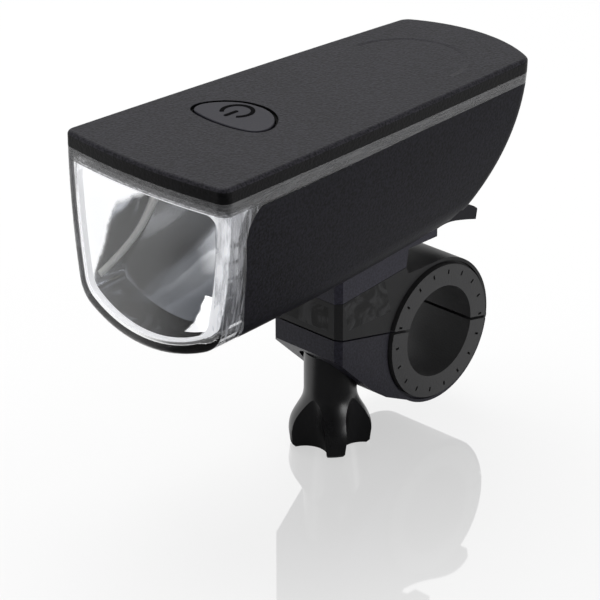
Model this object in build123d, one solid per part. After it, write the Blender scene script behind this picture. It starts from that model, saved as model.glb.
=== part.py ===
from build123d import *
import math
import os

os.makedirs("parts", exist_ok=True)

# A bicycle headlight on its handlebar clamp. All lengths are millimetres.
# The lamp is drawn about the middle of its top face: X across, the beam towards -Y, Z up.
# At the end every piece moves to the row's own origin, the middle of the handlebar bore.
# A depth is a distance below the lamp's top face, a place is a distance along the lamp.

# Lamp body, outside
FRONT_HALF_WIDTH = 24.6
MIDDLE_HALF_WIDTH = 22.2
REAR_HALF_WIDTH = 18.7
FRONT_DEPTH = 43.1
MIDDLE_DEPTH = 41.0
REAR_DEPTH = 35.0
FRONT_BOW = 1.7
STERN_BOW = 5.3
STERN_LENGTH = 48.0
STERN_DROP = 40.5
BILGE_RADIUS = 8.0
FRONT_EDGE_RADIUS = 2.4
STERN_EDGE_RADIUS = 3.5
COVER_EDGE_RADIUS = 0.9

# Shape of the boat-like cross-section, as shares of its half width and of its depth
SIDE_WIDTH_SHARE = 0.967
SIDE_DEPTH_SHARE = 0.434
FOOT_WIDTH_SHARE = 0.843
FOOT_DEPTH_SHARE = 0.868
# Heights at which the stern is drawn, as shares of its drop
STERN_HEIGHT_SHARES = (0.0, 0.25, 0.45, 0.62, 0.76, 0.88, 0.95, 0.985)

# Walls and general clearances
WALL = 1.9
COVER_HEIGHT = 3.4
COVER_PLATE = 1.8
SEAT_GAP = 0.3
SLIDE_GAP = 0.3
SHAFT_GAP = 0.05
OVERRUN = 2.0

# Lower edge of the clear strip and rear edge of the side window,
# as distances behind the beam face and as depths
CLEAR_EDGE = (
    (95.0, 5.75),
    (65.0, 5.9),
    (24.0, 6.65),
    (13.3, 6.75),
    (11.2, 8.2),
    (9.3, 10.8),
    (8.7, 13.8),
    (9.4, 23.1),
    (9.5, 28.0),
    (11.2, 38.0),
)

# Rubber seal in the groove on top of the clear strip
SEAL_INSET = 0.5
SEAL_WIDTH = 0.8
SEAL_HEIGHT = 0.8

# Reflector: a parabolic bowl about the light chip, cut off by the throat's walls
BOWL_RADIUS = 36.0
BOWL_FOCUS = 9.3
BOWL_WALL = 1.0
BOWL_STEPS = 12
TUNNEL_LENGTH = 1.7
CEILING = 0.9
CHIP_WINDOW_GAP = 0.4
BOSS_SIDE = 12.0
BOSS_RADIUS = 2.0
BOSS_LENGTH = 4.4

# Slots in the bowl's side walls that let light out of the side windows
SLOT_COUNT = 4
SLOT_FIRST_DEPTH = 14.0
SLOT_PITCH = 3.9
SLOT_HEIGHT = 1.0
SLOT_LENGTH = 4.2
SLOT_BEHIND_MOUTH = 0.9
SLOT_DEPTH = 0.55

# Bright rim round the opening
RIM_THICKNESS = 1.0
RIM_DEPTH = 1.4
RIM_CORNER_RADIUS = 3.0

# Power button: a rounded triangle on the left of the centre line, its nose to the rear
BUTTON_BEHIND_FRONT = 33.6
BUTTON_SIDE = -3.5
BUTTON_HALF_WIDTH = 10.4
BUTTON_HALF_LENGTH = 6.3
# Right half of its outline from the nose round to the front, as shares of those two
BUTTON_SHARES = ((0.0, 1.08), (0.36, 0.98), (0.68, 0.66), (0.91, 0.2), (1.0, -0.24),
                 (0.92, -0.62), (0.62, -0.84), (0.28, -0.93), (0.0, -0.95))
BUTTON_TRAVEL = 0.5
BUTTON_GROOVE = 0.8
BUTTON_GROOVE_DEPTH = 0.7
BUTTON_GAP = 0.25
BUTTON_FLANGE = 1.4
BUTTON_FLANGE_THICKNESS = 0.6
BUTTON_SEAL_THICKNESS = 0.3
BUTTON_EDGE_RADIUS = 0.3

# Electronics under the button
SWITCH_HALF_SIDE = 3.0
SWITCH_HEIGHT = 1.0
SWITCH_PLUNGER_RADIUS = 1.5
SWITCH_PLUNGER_HEIGHT = 0.35
BOARD_HALF_WIDTH = 15.0
BOARD_LENGTH = 27.0
BOARD_THICKNESS = 1.0
BOARD_CORNER_RADIUS = 2.0
HEAT_PLATE_HALF_SIDE = 7.5
HEAT_PLATE_THICKNESS = 0.7
CHIP_HALF_SIDE = 1.8
CHIP_HEIGHT = 0.7
CHIP_DOME_RADIUS = 1.3
BOARD_SCREW_RADIUS = 0.9
BOARD_SCREW_HEAD_RADIUS = 1.7
BOARD_SCREW_HEAD = 0.8
BOARD_SCREW_LENGTH = 5.2

# Four small cells in a tray
CELL_RADIUS = 5.25
CELL_LENGTH = 44.5
CELL_NUB_RADIUS = 1.9
CELL_NUB_LENGTH = 0.8
CELL_EDGE_RADIUS = 0.5
CELL_GAP = 0.2
TRAY_WALL = 1.0
TRAY_BEHIND_BOWL = 0.9
TRAY_ABOVE_KEEL = 13.4
STERN_ROOM = 18.3
TRAY_SIDE_HEIGHT = 14.0
CONTACT_THICKNESS = 0.4
CONTACT_HALF_WIDTH = 10.0
CONTACT_HALF_HEIGHT = 9.6
SPRING_LENGTH = 2.4
SPRING_RADIUS = 2.6
SPRING_WIRE = 0.3
SPRING_TURNS = 3
LEAD_RADIUS = 0.5
LEAD_SIDE = 8.5
LEAD_REACH = 4.0
LEAD_BEND = 1.0

# Posts and screws that hold the lower shell to the cover
POST_RADIUS = 2.6
TOWER_RADIUS = 3.0
POST_BEHIND_TRAY_FRONT = 4.5
POST_AHEAD_OF_TRAY_REAR = 7.7
POST_FOOT = 12.0
CASE_SCREW_RADIUS = 1.1
CASE_SCREW_HEAD_RADIUS = 1.9
CASE_SCREW_HEAD = 1.2
CASE_SCREW_LENGTH = 13.0
CASE_SCREW_SEAT = 19.0

# Slide rail of the bracket and its slot in the lower shell
RAIL_HALF_WIDTH = 8.2
RAIL_NECK_HALF_WIDTH = 5.2
RAIL_HEAD = 2.6
RAIL_RISE = 6.4
RAIL_FRONT = -4.2
RAIL_REAR = 15.1
SLOT_ROOF = 1.5
RIB_HALF_WIDTH = 9.0
RIB_THICKNESS = 1.6
RIBS_BEHIND_TRAY_FRONT = (10.0, 31.0)

# Handlebar clamp
BAR_RADIUS = 11.1
BAR_BEHIND_MIDDLE = 29.2
BAR_BELOW_SEAM = 8.4
PAD_THICKNESS = 3.1
PAD_HALF_WIDTH = 11.4
PAD_FLANGE = 2.1
PAD_FLANGE_GAP = 0.1
PAD_NOTCH_COUNT = 9
PAD_NOTCH_WIDTH = 0.5
PAD_NOTCH_LENGTH = 1.1
PAD_NOTCH_DEPTH = 0.8
PAD_END_GAP = 0.3
RING_WALL = 3.55
RING_STEP_WALL = 2.8
RING_STEP_DEPTH = 0.8
CLAMP_HALF_WIDTH = 10.6
CLAMP_FRONT = -4.2
CLAMP_CORNER = 1.4
JAW_HEIGHT = 8.9
JAW_SEAM_SLOPE = 11.6
JAW_GAP = 0.4
# Underside of the lower jaw, as distances behind its front face and below the seam
CHIN = ((0.0, 5.4), (5.2, 10.4), (11.1, 16.0), (16.2, 19.7), (23.1, 22.9))
HINGE_PIN_RADIUS = 0.9
HINGE_PIN_HALF_WIDTH = 9.0
HINGE_KNUCKLE_HALF_WIDTH = 3.5
HINGE_GAP = 0.2

# Base that carries the lamp and turns on the upper jaw
BASE_REAR = 28.7
BASE_REAR_RISE = 0.7
BASE_HEIGHT = 6.0
BASE_SEAM_SLOPE = 6.0
BASE_SEAM_REAR = 18.3
BASE_STEP_PLACE = 19.0
BASE_SEAM_GAP = 0.1
SHOULDER_SLOPE = 0.8
SWIVEL_PLACE = 9.5
SWIVEL_SCREW_RADIUS = 2.0
SWIVEL_HEAD_RADIUS = 3.4
SWIVEL_HEAD = 1.8
SWIVEL_SCREW_REACH = 4.2
SWIVEL_FLOOR = 2.2
SWIVEL_WASHER_THICKNESS = 0.5

# Release tongue behind the base; its top and its underside are distances behind the hinge
# and heights above it
TONGUE_HALF_WIDTH = 5.6
TONGUE_GAP = 0.3
TONGUE_PLACE = 16.8
TONGUE_BELOW_KEEL = 2.2
TONGUE_KNUCKLE_RADIUS = 1.2
TONGUE_PIN_RADIUS = 0.6
TONGUE_PIN_HALF_WIDTH = 8.5
TONGUE_TOP = ((0.0, 1.1), (6.0, 1.2), (13.2, 1.7), (20.5, 3.5), (27.4, 4.3), (31.8, 2.2))
TONGUE_FOOT = ((31.3, -0.4), (25.7, 1.1), (20.9, 1.8), (12.2, 0.2), (6.0, -0.4), (0.0, -0.5))
TONGUE_EDGE_RADIUS = 0.5

# Clamp screw with its thumb knob
KNOB_PLACE = 4.4
KNOB_BELOW_SEAM = 8.1
KNOB_STEM_RADIUS = 6.15
KNOB_STEM_LENGTH = 9.6
KNOB_WIDE_RADIUS = 9.65
KNOB_WIDE_PLACE = 20.2
KNOB_NECK_RADIUS = 7.3
KNOB_NECK_PLACE = 13.8
KNOB_LENGTH = 23.9
KNOB_FOOT_RADIUS = 9.3
KNOB_FOOT_EDGE = 0.8
KNOB_LOBES = 4
KNOB_SCOOP_RADIUS = 5.2
KNOB_SCOOP_PLACE = 10.7
KNOB_SCOOP_LENGTH = 14.5
KNOB_SCOOP_LEAN = 8.0
KNOB_TURN = -38.0
SCREW_RADIUS = 2.5
SCREW_ABOVE_NUT = 0.7
SCREW_IN_KNOB = 16.0
SCREW_SLOT_GAP = 0.9
WELL_GAP = 1.0
SEAT_WASHER_THICKNESS = 0.8
SEAT_WASHER_RADIUS = 5.0
SEAT_WASHER_GAP = 0.25
NUT_ACROSS_FLATS = 8.0
NUT_HEIGHT = 4.0
NUT_ABOVE_SEAM = 0.9

# Sizes that follow from the ones above
BOWL_OUTER_INSET = WALL + SEAT_GAP - SHAFT_GAP
BOWL_INNER_INSET = BOWL_OUTER_INSET + RIM_THICKNESS
BOWL_LENGTH = BOWL_OUTER_INSET + RIM_DEPTH + TUNNEL_LENGTH + BOWL_RADIUS**2 / (4 * BOWL_FOCUS)
TRAY_LENGTH = 2 * TRAY_WALL + 2 * CONTACT_THICKNESS + CELL_LENGTH + SPRING_LENGTH
BODY_LENGTH = BOWL_LENGTH + BOWL_WALL + TRAY_BEHIND_BOWL + TRAY_LENGTH + STERN_ROOM
BASE_SEAM_DEPTH = MIDDLE_DEPTH + BASE_HEIGHT
BASE_REAR_DEPTH = MIDDLE_DEPTH - BASE_REAR_RISE
JAW_SEAM_DEPTH = BASE_SEAM_DEPTH + JAW_HEIGHT
BAR_BELOW_TOP = JAW_SEAM_DEPTH + BAR_BELOW_SEAM
TRAY_FOOT = MIDDLE_DEPTH - TRAY_ABOVE_KEEL
RAIL_TOP = MIDDLE_DEPTH - RAIL_RISE
KNOB_TOP = JAW_SEAM_DEPTH + KNOB_BELOW_SEAM
KNOB_STEM_FOOT = KNOB_TOP + KNOB_STEM_LENGTH
KNOB_NECK_DEPTH = KNOB_TOP + KNOB_NECK_PLACE
KNOB_WIDE_DEPTH = KNOB_TOP + KNOB_WIDE_PLACE
KNOB_FOOT = KNOB_TOP + KNOB_LENGTH
NUT_FOOT = JAW_SEAM_DEPTH - NUT_ABOVE_SEAM
SCREW_TOP = NUT_FOOT - NUT_HEIGHT - SCREW_ABOVE_NUT
SCREW_FOOT = KNOB_TOP + SCREW_IN_KNOB
TONGUE_HINGE = (TONGUE_PLACE, -MIDDLE_DEPTH - TONGUE_BELOW_KEEL)
FRONT = -BODY_LENGTH / 2
REAR = BODY_LENGTH / 2
REACH = 3 * BODY_LENGTH
FRONT_CURVE = (MIDDLE_HALF_WIDTH**2 + FRONT_BOW**2) / (2 * FRONT_BOW)
STERN_CURVE = (REAR_HALF_WIDTH**2 + STERN_BOW**2) / (2 * STERN_BOW)
STERN_CENTRE = REAR - STERN_LENGTH
SEAL_FOOT = COVER_PLATE + BUTTON_SEAL_THICKNESS
FLANGE_FOOT = SEAL_FOOT + BUTTON_FLANGE_THICKNESS
SWITCH_TOP = FLANGE_FOOT + BUTTON_TRAVEL + SHAFT_GAP
BOARD_TOP = SWITCH_TOP + SWITCH_PLUNGER_HEIGHT + SWITCH_HEIGHT
BOARD_FOOT = BOARD_TOP + BOARD_THICKNESS
CEILING_TOP = BOARD_FOOT + HEAT_PLATE_THICKNESS
BOWL_TOP = CEILING_TOP + CEILING
MOUTH = FRONT + BOWL_OUTER_INSET + RIM_DEPTH
BOWL_BACK = FRONT + BOWL_LENGTH
CHIP_PLACE = BOWL_BACK - BOWL_FOCUS
BOSS_PLACE = BOWL_BACK - SEAT_GAP
BUTTON_PLACE = FRONT + BUTTON_BEHIND_FRONT
TRAY_FRONT = BOWL_BACK + BOWL_WALL + TRAY_BEHIND_BOWL
CEILING_REAR = TRAY_FRONT - SEAT_GAP
CELL_PITCH = 2 * CELL_RADIUS + CELL_GAP
CELL_FRONT = TRAY_FRONT + TRAY_WALL + CONTACT_THICKNESS
TRAY_REAR = TRAY_FRONT + TRAY_LENGTH
TRAY_HALF_WIDTH = CELL_PITCH + CELL_GAP + TRAY_WALL
CELL_FOOT = TRAY_FOOT - TRAY_WALL
TRAY_TOP = CELL_FOOT - CELL_PITCH - 2 * CELL_RADIUS
SLOT_TOP = RAIL_TOP - SLIDE_GAP
HEAD_FOOT = RAIL_TOP + RAIL_HEAD
SLOT_FOOT = HEAD_FOOT + SLIDE_GAP
SLOT_FRONT = RAIL_FRONT - SLIDE_GAP
ROOF_TOP = SLOT_TOP - SLOT_ROOF
POST_SIDE = TRAY_HALF_WIDTH + TOWER_RADIUS + SEAT_GAP
POST_PLACES = (TRAY_FRONT + POST_BEHIND_TRAY_FRONT, TRAY_REAR - POST_AHEAD_OF_TRAY_REAR)
PAD_OUTER = BAR_RADIUS + PAD_THICKNESS
RING_OUTER = PAD_OUTER + RING_WALL
RING_TOP = BAR_BELOW_TOP - RING_OUTER
JAW_TANGENT = math.tan(math.radians(JAW_SEAM_SLOPE))
BASE_TANGENT = math.tan(math.radians(BASE_SEAM_SLOPE))
KNUCKLE_RADIUS = RING_WALL / 2
SEAT_TOP = KNOB_TOP - SEAT_WASHER_THICKNESS
WELL_TOP = SEAT_TOP - SEAT_WASHER_GAP


def jaw_seam(place):
    """Depth of the seam between the two jaws at a place along the lamp."""
    return JAW_SEAM_DEPTH + (place - CLAMP_FRONT) * JAW_TANGENT


def base_seam(place):
    """Depth of the seam between the base and the upper jaw."""
    return BASE_SEAM_DEPTH - (place - CLAMP_FRONT) * BASE_TANGENT


HINGE_PLACE = BAR_BEHIND_MIDDLE + RING_OUTER - KNUCKLE_RADIUS
HINGE_HEIGHT = -jaw_seam(HINGE_PLACE)


def block(half_width, front, rear, top, foot):
    """A box given by its half width, its two ends and its two depths."""
    size = Box(2 * half_width, rear - front, foot - top)
    return Pos(0, (front + rear) / 2, -(top + foot) / 2) * size


def side_prism(points, half_width):
    """An outline of places and depths in the side view, given its width."""
    outline = Polyline(*[(place, -depth) for place, depth in points], close=True)
    return extrude(Plane.YZ * make_face(outline), half_width, both=True)


def rod(radius, top, foot, x=0, y=0):
    """An upright round bar between two depths."""
    return Pos(x, y, -(top + foot) / 2) * Cylinder(radius, foot - top)


def cross_rod(radius, half_width, place, height):
    """A round bar that lies across the lamp."""
    return Pos(0, place, height) * Rot(0, 90, 0) * Cylinder(radius, 2 * half_width)


def both_sides(piece):
    """The piece and its mirror image on the other side of the centre line."""
    return [piece, mirror(piece, Plane.YZ)]


def boat_face(half_width, depth, inset):
    """Boat-like outline, moved inwards: bowed sides, round bilges and a shallow keel."""
    w = half_width - inset
    d = depth - inset
    foot = (w * FOOT_WIDTH_SHARE, -d * FOOT_DEPTH_SHARE)
    side = (w * SIDE_WIDTH_SHARE, -d * SIDE_DEPTH_SHARE)
    right = ThreePointArc((w, 0), side, foot)
    keel = ThreePointArc(foot, (0, -d), (-foot[0], foot[1]))
    left = ThreePointArc((-foot[0], foot[1]), (-side[0], side[1]), (-w, 0))
    face = make_face([right, keel, left, Line((-w, 0), (w, 0))])
    corners = face.vertices().sort_by(Axis.Y)[:2]
    return fillet(corners, BILGE_RADIUS - inset)


def hull_section(place, half_width, depth, inset):
    """One upright cross-section of the lamp."""
    return Plane.XZ.offset(-place) * boat_face(half_width, depth, inset)


def stern_slice(height_share, inset):
    """The plan of the stern at one height: a shallow arc that moves forward as it drops."""
    drop = STERN_DROP - inset
    length = STERN_LENGTH - inset
    tip = STERN_CENTRE + length * math.sqrt(1 - height_share**2)
    wide = REAR_HALF_WIDTH + BILGE_RADIUS
    shoulder = tip - STERN_CURVE + math.sqrt(STERN_CURVE**2 - wide**2)
    arc = ThreePointArc((wide, shoulder), (0, tip), (-wide, shoulder))
    far = 2 * FRONT_HALF_WIDTH
    rest = Polyline((-wide, shoulder), (-far, 2 * FRONT), (far, 2 * FRONT), (wide, shoulder))
    return Pos(0, 0, -drop * height_share) * make_face([arc, *rest.edges()])


def front_barrel(inset):
    """The bowed upright beam face, as the front of a very wide drum."""
    return Pos(0, FRONT + FRONT_CURVE, -REACH / 2) * Cylinder(FRONT_CURVE - inset, REACH)


def round_loop(solid, face, radius):
    """Rounds the edges of one end face, except where it meets the flat top."""
    top = solid.bounding_box().max.Z
    loop = [e for e in face.edges() if e.center().Z < top - COVER_EDGE_RADIUS / 2]
    return fillet(loop, radius)


def hull(inset):
    """The lamp's whole outer form, moved inwards by an even amount."""
    places = (FRONT - OVERRUN, 0, REAR + OVERRUN)
    widths = (FRONT_HALF_WIDTH, MIDDLE_HALF_WIDTH, REAR_HALF_WIDTH)
    depths = (FRONT_DEPTH, MIDDLE_DEPTH, REAR_DEPTH)
    form = loft([hull_section(y, w, d, inset) for y, w, d in zip(places, widths, depths)])
    stern = loft([stern_slice(share, inset) for share in STERN_HEIGHT_SHARES])
    cap = extrude(stern_slice(STERN_HEIGHT_SHARES[0], inset), OVERRUN / 2, both=True)
    behind = block(REACH / 2, STERN_CENTRE, 2 * REAR, -OVERRUN, 2 * STERN_DROP)
    form = form & front_barrel(inset)
    form = form - (behind - (stern + Pos(0, 0, OVERRUN / 2) * cap))
    form = round_loop(form, form.faces().sort_by(Axis.Y)[0], FRONT_EDGE_RADIUS - inset / 2)
    form = round_loop(form, form.faces().sort_by(Axis.Y)[-1], STERN_EDGE_RADIUS - inset / 2)
    return form


def slab(top, foot):
    """Everything between two depths."""
    return block(REACH / 2, -REACH / 2, REACH / 2, top, foot)


def clear_zone():
    """Side view of all that is clear: the strip under the cover and the side windows."""
    last = CLEAR_EDGE[-1]
    first = CLEAR_EDGE[0]
    front = FRONT - OVERRUN
    rear = REAR + OVERRUN
    foot = (FRONT + last[0], 2 * FRONT_DEPTH)
    points = [(front, COVER_HEIGHT), (rear, COVER_HEIGHT), (rear, first[1])]
    points += [(FRONT + behind, depth) for behind, depth in CLEAR_EDGE]
    points += [foot, (front, 2 * FRONT_DEPTH)]
    return side_prism(points, REACH / 2)


def button_outline(growth):
    """The button's rounded triangle, grown by an even amount."""
    right = [(BUTTON_HALF_WIDTH * x, BUTTON_HALF_LENGTH * y) for x, y in BUTTON_SHARES]
    ring = right + [(-x, y) for x, y in reversed(right[1:-1])]
    grown = []
    for i, (x, y) in enumerate(ring):
        before = ring[i - 1]
        after = ring[(i + 1) % len(ring)]
        run = (after[0] - before[0], after[1] - before[1])
        length = math.hypot(*run)
        grown.append((x - growth * run[1] / length, y + growth * run[0] / length))
    return Pos(BUTTON_SIDE, BUTTON_PLACE, 0) * make_face(Spline(*grown, periodic=True))


def button_plate(growth, top, foot):
    """The button's outline as a plate between two depths."""
    return extrude(Pos(0, 0, -foot) * button_outline(growth), foot - top)


def case_places():
    """Plan places of the four case screws."""
    return [(side * POST_SIDE, y) for y in POST_PLACES for side in (-1, 1)]


def make_top_cover(outer, inner):
    """Thin plate with a skirt, the button's opening and four screw posts."""
    cover = outer & slab(-OVERRUN, COVER_HEIGHT)
    top = cover.faces().sort_by(Axis.Z)[-1]
    cover = fillet(top.edges(), COVER_EDGE_RADIUS)
    cover -= inner & slab(COVER_PLATE, FRONT_DEPTH)
    cover -= button_plate(BUTTON_GAP, -OVERRUN, COVER_HEIGHT)
    cover -= button_plate(BUTTON_GROOVE, -OVERRUN, BUTTON_GROOVE_DEPTH)
    for x, y in case_places():
        cover += rod(POST_RADIUS, COVER_PLATE / 2, POST_FOOT, x, y)
        cover -= rod(CASE_SCREW_RADIUS, CASE_SCREW_SEAT - CASE_SCREW_LENGTH, POST_FOOT + OVERRUN, x, y)
    return cover


def make_power_button():
    """Flush button with a flange that keeps it under the cover."""
    body = button_plate(0, 0, SEAL_FOOT)
    top = body.faces().sort_by(Axis.Z)[-1]
    body = fillet(top.edges(), BUTTON_EDGE_RADIUS)
    return body + button_plate(BUTTON_FLANGE, SEAL_FOOT, FLANGE_FOOT)


def make_button_seal():
    """Flat rubber ring between the button's flange and the cover."""
    ring = button_plate(BUTTON_FLANGE, COVER_PLATE, SEAL_FOOT)
    return ring - button_plate(0, COVER_PLATE - OVERRUN, SEAL_FOOT + OVERRUN)


def make_tact_switch():
    """Square switch with a round plunger under the button."""
    y = BUTTON_PLACE
    body_top = SWITCH_TOP + SWITCH_PLUNGER_HEIGHT
    body = block(SWITCH_HALF_SIDE, y - SWITCH_HALF_SIDE, y + SWITCH_HALF_SIDE, body_top, BOARD_TOP)
    return Pos(BUTTON_SIDE, 0, 0) * (body + rod(SWITCH_PLUNGER_RADIUS, SWITCH_TOP, body_top, 0, y))


def boss_places():
    """Plan places of the two board screws."""
    return [(side * BOSS_SIDE, BOSS_PLACE) for side in (-1, 1)]


def make_main_board():
    """Circuit board with rounded corners and two screw holes."""
    board = block(BOARD_HALF_WIDTH, CEILING_REAR - BOARD_LENGTH, CEILING_REAR, BOARD_TOP, BOARD_FOOT)
    board = fillet(board.edges().filter_by(Axis.Z), BOARD_CORNER_RADIUS)
    for x, y in boss_places():
        board -= rod(BOARD_SCREW_RADIUS + SHAFT_GAP, BOARD_TOP - OVERRUN, BOARD_FOOT + OVERRUN, x, y)
    return board


def make_board_screws():
    """Two small pan-head screws through the board."""
    screws = []
    for x, y in boss_places():
        head = rod(BOARD_SCREW_HEAD_RADIUS, BOARD_TOP - BOARD_SCREW_HEAD, BOARD_TOP, x, y)
        screws.append(head + rod(BOARD_SCREW_RADIUS, BOARD_TOP, BOARD_TOP + BOARD_SCREW_LENGTH, x, y))
    return screws


def make_heat_plate():
    """Metal plate between the board and the reflector's roof."""
    y = CHIP_PLACE
    side = HEAT_PLATE_HALF_SIDE
    return block(side, y - side, y + side, BOARD_FOOT, CEILING_TOP)


def make_light_chip():
    """Light chip that shines down into the bowl."""
    y = CHIP_PLACE
    side = CHIP_HALF_SIDE
    chip = block(side, y - side, y + side, CEILING_TOP, CEILING_TOP + CHIP_HEIGHT)
    dome = Pos(0, y, -CEILING_TOP - CHIP_HEIGHT) * Sphere(CHIP_DOME_RADIUS)
    return chip + (dome & slab(CEILING_TOP + CHIP_HEIGHT, FRONT_DEPTH))


def bowl_form(growth):
    """A parabolic bowl about the beam axis, with a straight tunnel in front of it."""
    rim = BOWL_RADIUS + growth
    back = BOWL_BACK + growth
    rim_place = MOUTH + TUNNEL_LENGTH
    steps = [rim * i / BOWL_STEPS for i in range(BOWL_STEPS + 1)]
    curve = [(r, back - (back - rim_place) * (r / rim) ** 2) for r in steps]
    bowl = Spline(*curve)
    front = (0, FRONT - OVERRUN)
    edge = Polyline(curve[-1], (rim, FRONT - OVERRUN), front, curve[0])
    half = make_face([bowl, *edge.edges()])
    return Pos(0, 0, -BOWL_TOP) * revolve(half, Axis.Y)


def throat_section(place, half_width, depth, inset, top, corner):
    """A cross-section of the lamp, cut level and with rounded upper corners."""
    face = boat_face(half_width, depth, inset)
    face = face & (Pos(0, -top - REACH / 2) * Rectangle(REACH, REACH))
    face = fillet(face.vertices().sort_by(Axis.Y)[-2:], corner)
    return Plane.XZ.offset(-place) * face


def throat(inset, top, corner):
    """Straight-walled passage from the beam face to the middle of the lamp."""
    front = throat_section(FRONT - OVERRUN, FRONT_HALF_WIDTH, FRONT_DEPTH, inset, top, corner)
    rear = throat_section(0, MIDDLE_HALF_WIDTH, MIDDLE_DEPTH, inset, top, corner)
    return loft([front, rear])


def behind_rim():
    """Everything behind the bright rim, with the same bow as the beam face."""
    return Pos(0, RIM_DEPTH, 0) * front_barrel(BOWL_OUTER_INSET)


def light_slots():
    """Four short level slots, half through each side wall of the bowl."""
    front = MOUTH + SLOT_BEHIND_MOUTH
    core = throat(BOWL_OUTER_INSET + SLOT_DEPTH, COVER_HEIGHT, SLOT_DEPTH)
    slots = []
    for i in range(SLOT_COUNT):
        top = SLOT_FIRST_DEPTH + i * SLOT_PITCH - SLOT_HEIGHT / 2
        slots.append(block(REACH / 2, front, front + SLOT_LENGTH, top, top + SLOT_HEIGHT) - core)
    return slots


def make_reflector(wide):
    """Half bowl with its two side walls, its roof and two bosses for the board screws."""
    shell = bowl_form(BOWL_WALL) & wide & slab(CEILING_TOP, FRONT_DEPTH) & behind_rim()
    shell -= bowl_form(0) & throat(BOWL_INNER_INSET, BOWL_TOP, RIM_CORNER_RADIUS)
    for slot in light_slots():
        shell -= slot
    roof_front = CEILING_REAR - BOARD_LENGTH
    roof_half = BOARD_HALF_WIDTH
    shell += block(roof_half, roof_front, CEILING_REAR, CEILING_TOP, BOWL_TOP)
    for x, y in boss_places():
        boss = rod(BOSS_RADIUS, CEILING_TOP, CEILING_TOP + BOSS_LENGTH, x, y)
        shell += boss - bowl_form(0)
        shell -= rod(BOARD_SCREW_RADIUS, CEILING_TOP - OVERRUN, BOARD_TOP + BOARD_SCREW_LENGTH, x, y)
    window = CHIP_HALF_SIDE + CHIP_WINDOW_GAP
    top = CEILING_TOP - OVERRUN
    return shell - block(window, CHIP_PLACE - window, CHIP_PLACE + window, top, BOWL_TOP + OVERRUN)


def make_reflector_rim(wide):
    """Bright frame round the opening, bowed like the beam face."""
    corner = RIM_CORNER_RADIUS + RIM_THICKNESS
    frame = wide & throat(BOWL_OUTER_INSET, BOWL_TOP - RIM_THICKNESS, corner)
    frame -= behind_rim()
    return frame - throat(BOWL_INNER_INSET, BOWL_TOP, RIM_CORNER_RADIUS)


def make_clear_lens(outer, inner):
    """Clear front, side windows and the strip that runs round under the cover."""
    lens = (outer - inner) & clear_zone()
    return lens - make_case_seal()


def seal_plan(inset):
    """The lamp's plan just under the cover, moved inwards by an even amount."""
    front_corner = (FRONT_HALF_WIDTH - inset, FRONT + FRONT_BOW + inset)
    rear_corner = (REAR_HALF_WIDTH - inset, REAR - STERN_BOW - inset)
    side = ThreePointArc(front_corner, (MIDDLE_HALF_WIDTH - inset, 0), rear_corner)
    left = mirror(side, Plane.YZ)
    front = ThreePointArc((-front_corner[0], front_corner[1]), (0, FRONT + inset), front_corner)
    rear = ThreePointArc((-rear_corner[0], rear_corner[1]), (0, REAR - inset), rear_corner)
    face = make_face([side, rear, left, front])
    return fillet(face.vertices(), FRONT_EDGE_RADIUS - inset / 2)


def make_case_seal():
    """Thin rubber seal that lies in the clear strip's upper edge."""
    band = seal_plan(SEAL_INSET) - seal_plan(SEAL_INSET + SEAL_WIDTH)
    return extrude(Pos(0, 0, -COVER_HEIGHT - SEAL_HEIGHT) * band, SEAL_HEIGHT)


def rail_slot():
    """The slot for the bracket's slide rail, open at the stern and at the bottom."""
    head = block(RAIL_HALF_WIDTH + SLIDE_GAP, SLOT_FRONT, REACH, SLOT_TOP, SLOT_FOOT)
    neck_half = RAIL_NECK_HALF_WIDTH + SLIDE_GAP
    return head + block(neck_half, SLOT_FRONT, REACH, SLOT_FOOT, REACH)


def make_lower_shell(outer, inner):
    """Matte shell with the rail slot, two ribs under the tray and four screw towers."""
    shell = (outer - inner) - clear_zone() - slab(-OVERRUN, COVER_HEIGHT)
    wall = RAIL_HALF_WIDTH + SLIDE_GAP + SLOT_ROOF
    housing = block(wall, SLOT_FRONT - SLOT_ROOF, REACH, ROOF_TOP, REACH) & outer
    shell += housing
    for behind in RIBS_BEHIND_TRAY_FRONT:
        y = TRAY_FRONT + behind
        rib = block(RIB_HALF_WIDTH, y - RIB_THICKNESS / 2, y + RIB_THICKNESS / 2, TRAY_FOOT, ROOF_TOP)
        shell += rib
    for x, y in case_places():
        shell += rod(TOWER_RADIUS, POST_FOOT, REACH, x, y) & outer
    for x, y in case_places():
        shell -= rod(CASE_SCREW_HEAD_RADIUS + SHAFT_GAP, CASE_SCREW_SEAT, REACH, x, y)
        shell -= rod(CASE_SCREW_RADIUS + SHAFT_GAP, POST_FOOT - OVERRUN, CASE_SCREW_SEAT + OVERRUN, x, y)
    return shell - rail_slot()


def make_case_screws():
    """Four screws from below into the cover's posts."""
    screws = []
    for x, y in case_places():
        head = rod(CASE_SCREW_HEAD_RADIUS, CASE_SCREW_SEAT, CASE_SCREW_SEAT + CASE_SCREW_HEAD, x, y)
        top = CASE_SCREW_SEAT - CASE_SCREW_LENGTH
        screws.append(head + rod(CASE_SCREW_RADIUS, top, CASE_SCREW_SEAT, x, y))
    return screws


def cell_centres():
    """Places of the four cells across the tray, with the way that each one points."""
    low = -CELL_FOOT + CELL_RADIUS
    spots = []
    for column in (-1, 1):
        for row in (0, 1):
            way = column * (1 - 2 * row)
            spots.append((column * CELL_PITCH / 2, low + row * CELL_PITCH, way))
    return spots


def lengthwise(piece, x, z, way):
    """Stands a piece drawn along +Z into the tray, pointing to the front or to the rear."""
    middle = (CELL_FRONT + TRAY_REAR - TRAY_WALL - CONTACT_THICKNESS) / 2
    return Pos(x, middle, z) * Rot(90 * way, 0, 0) * piece


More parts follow.
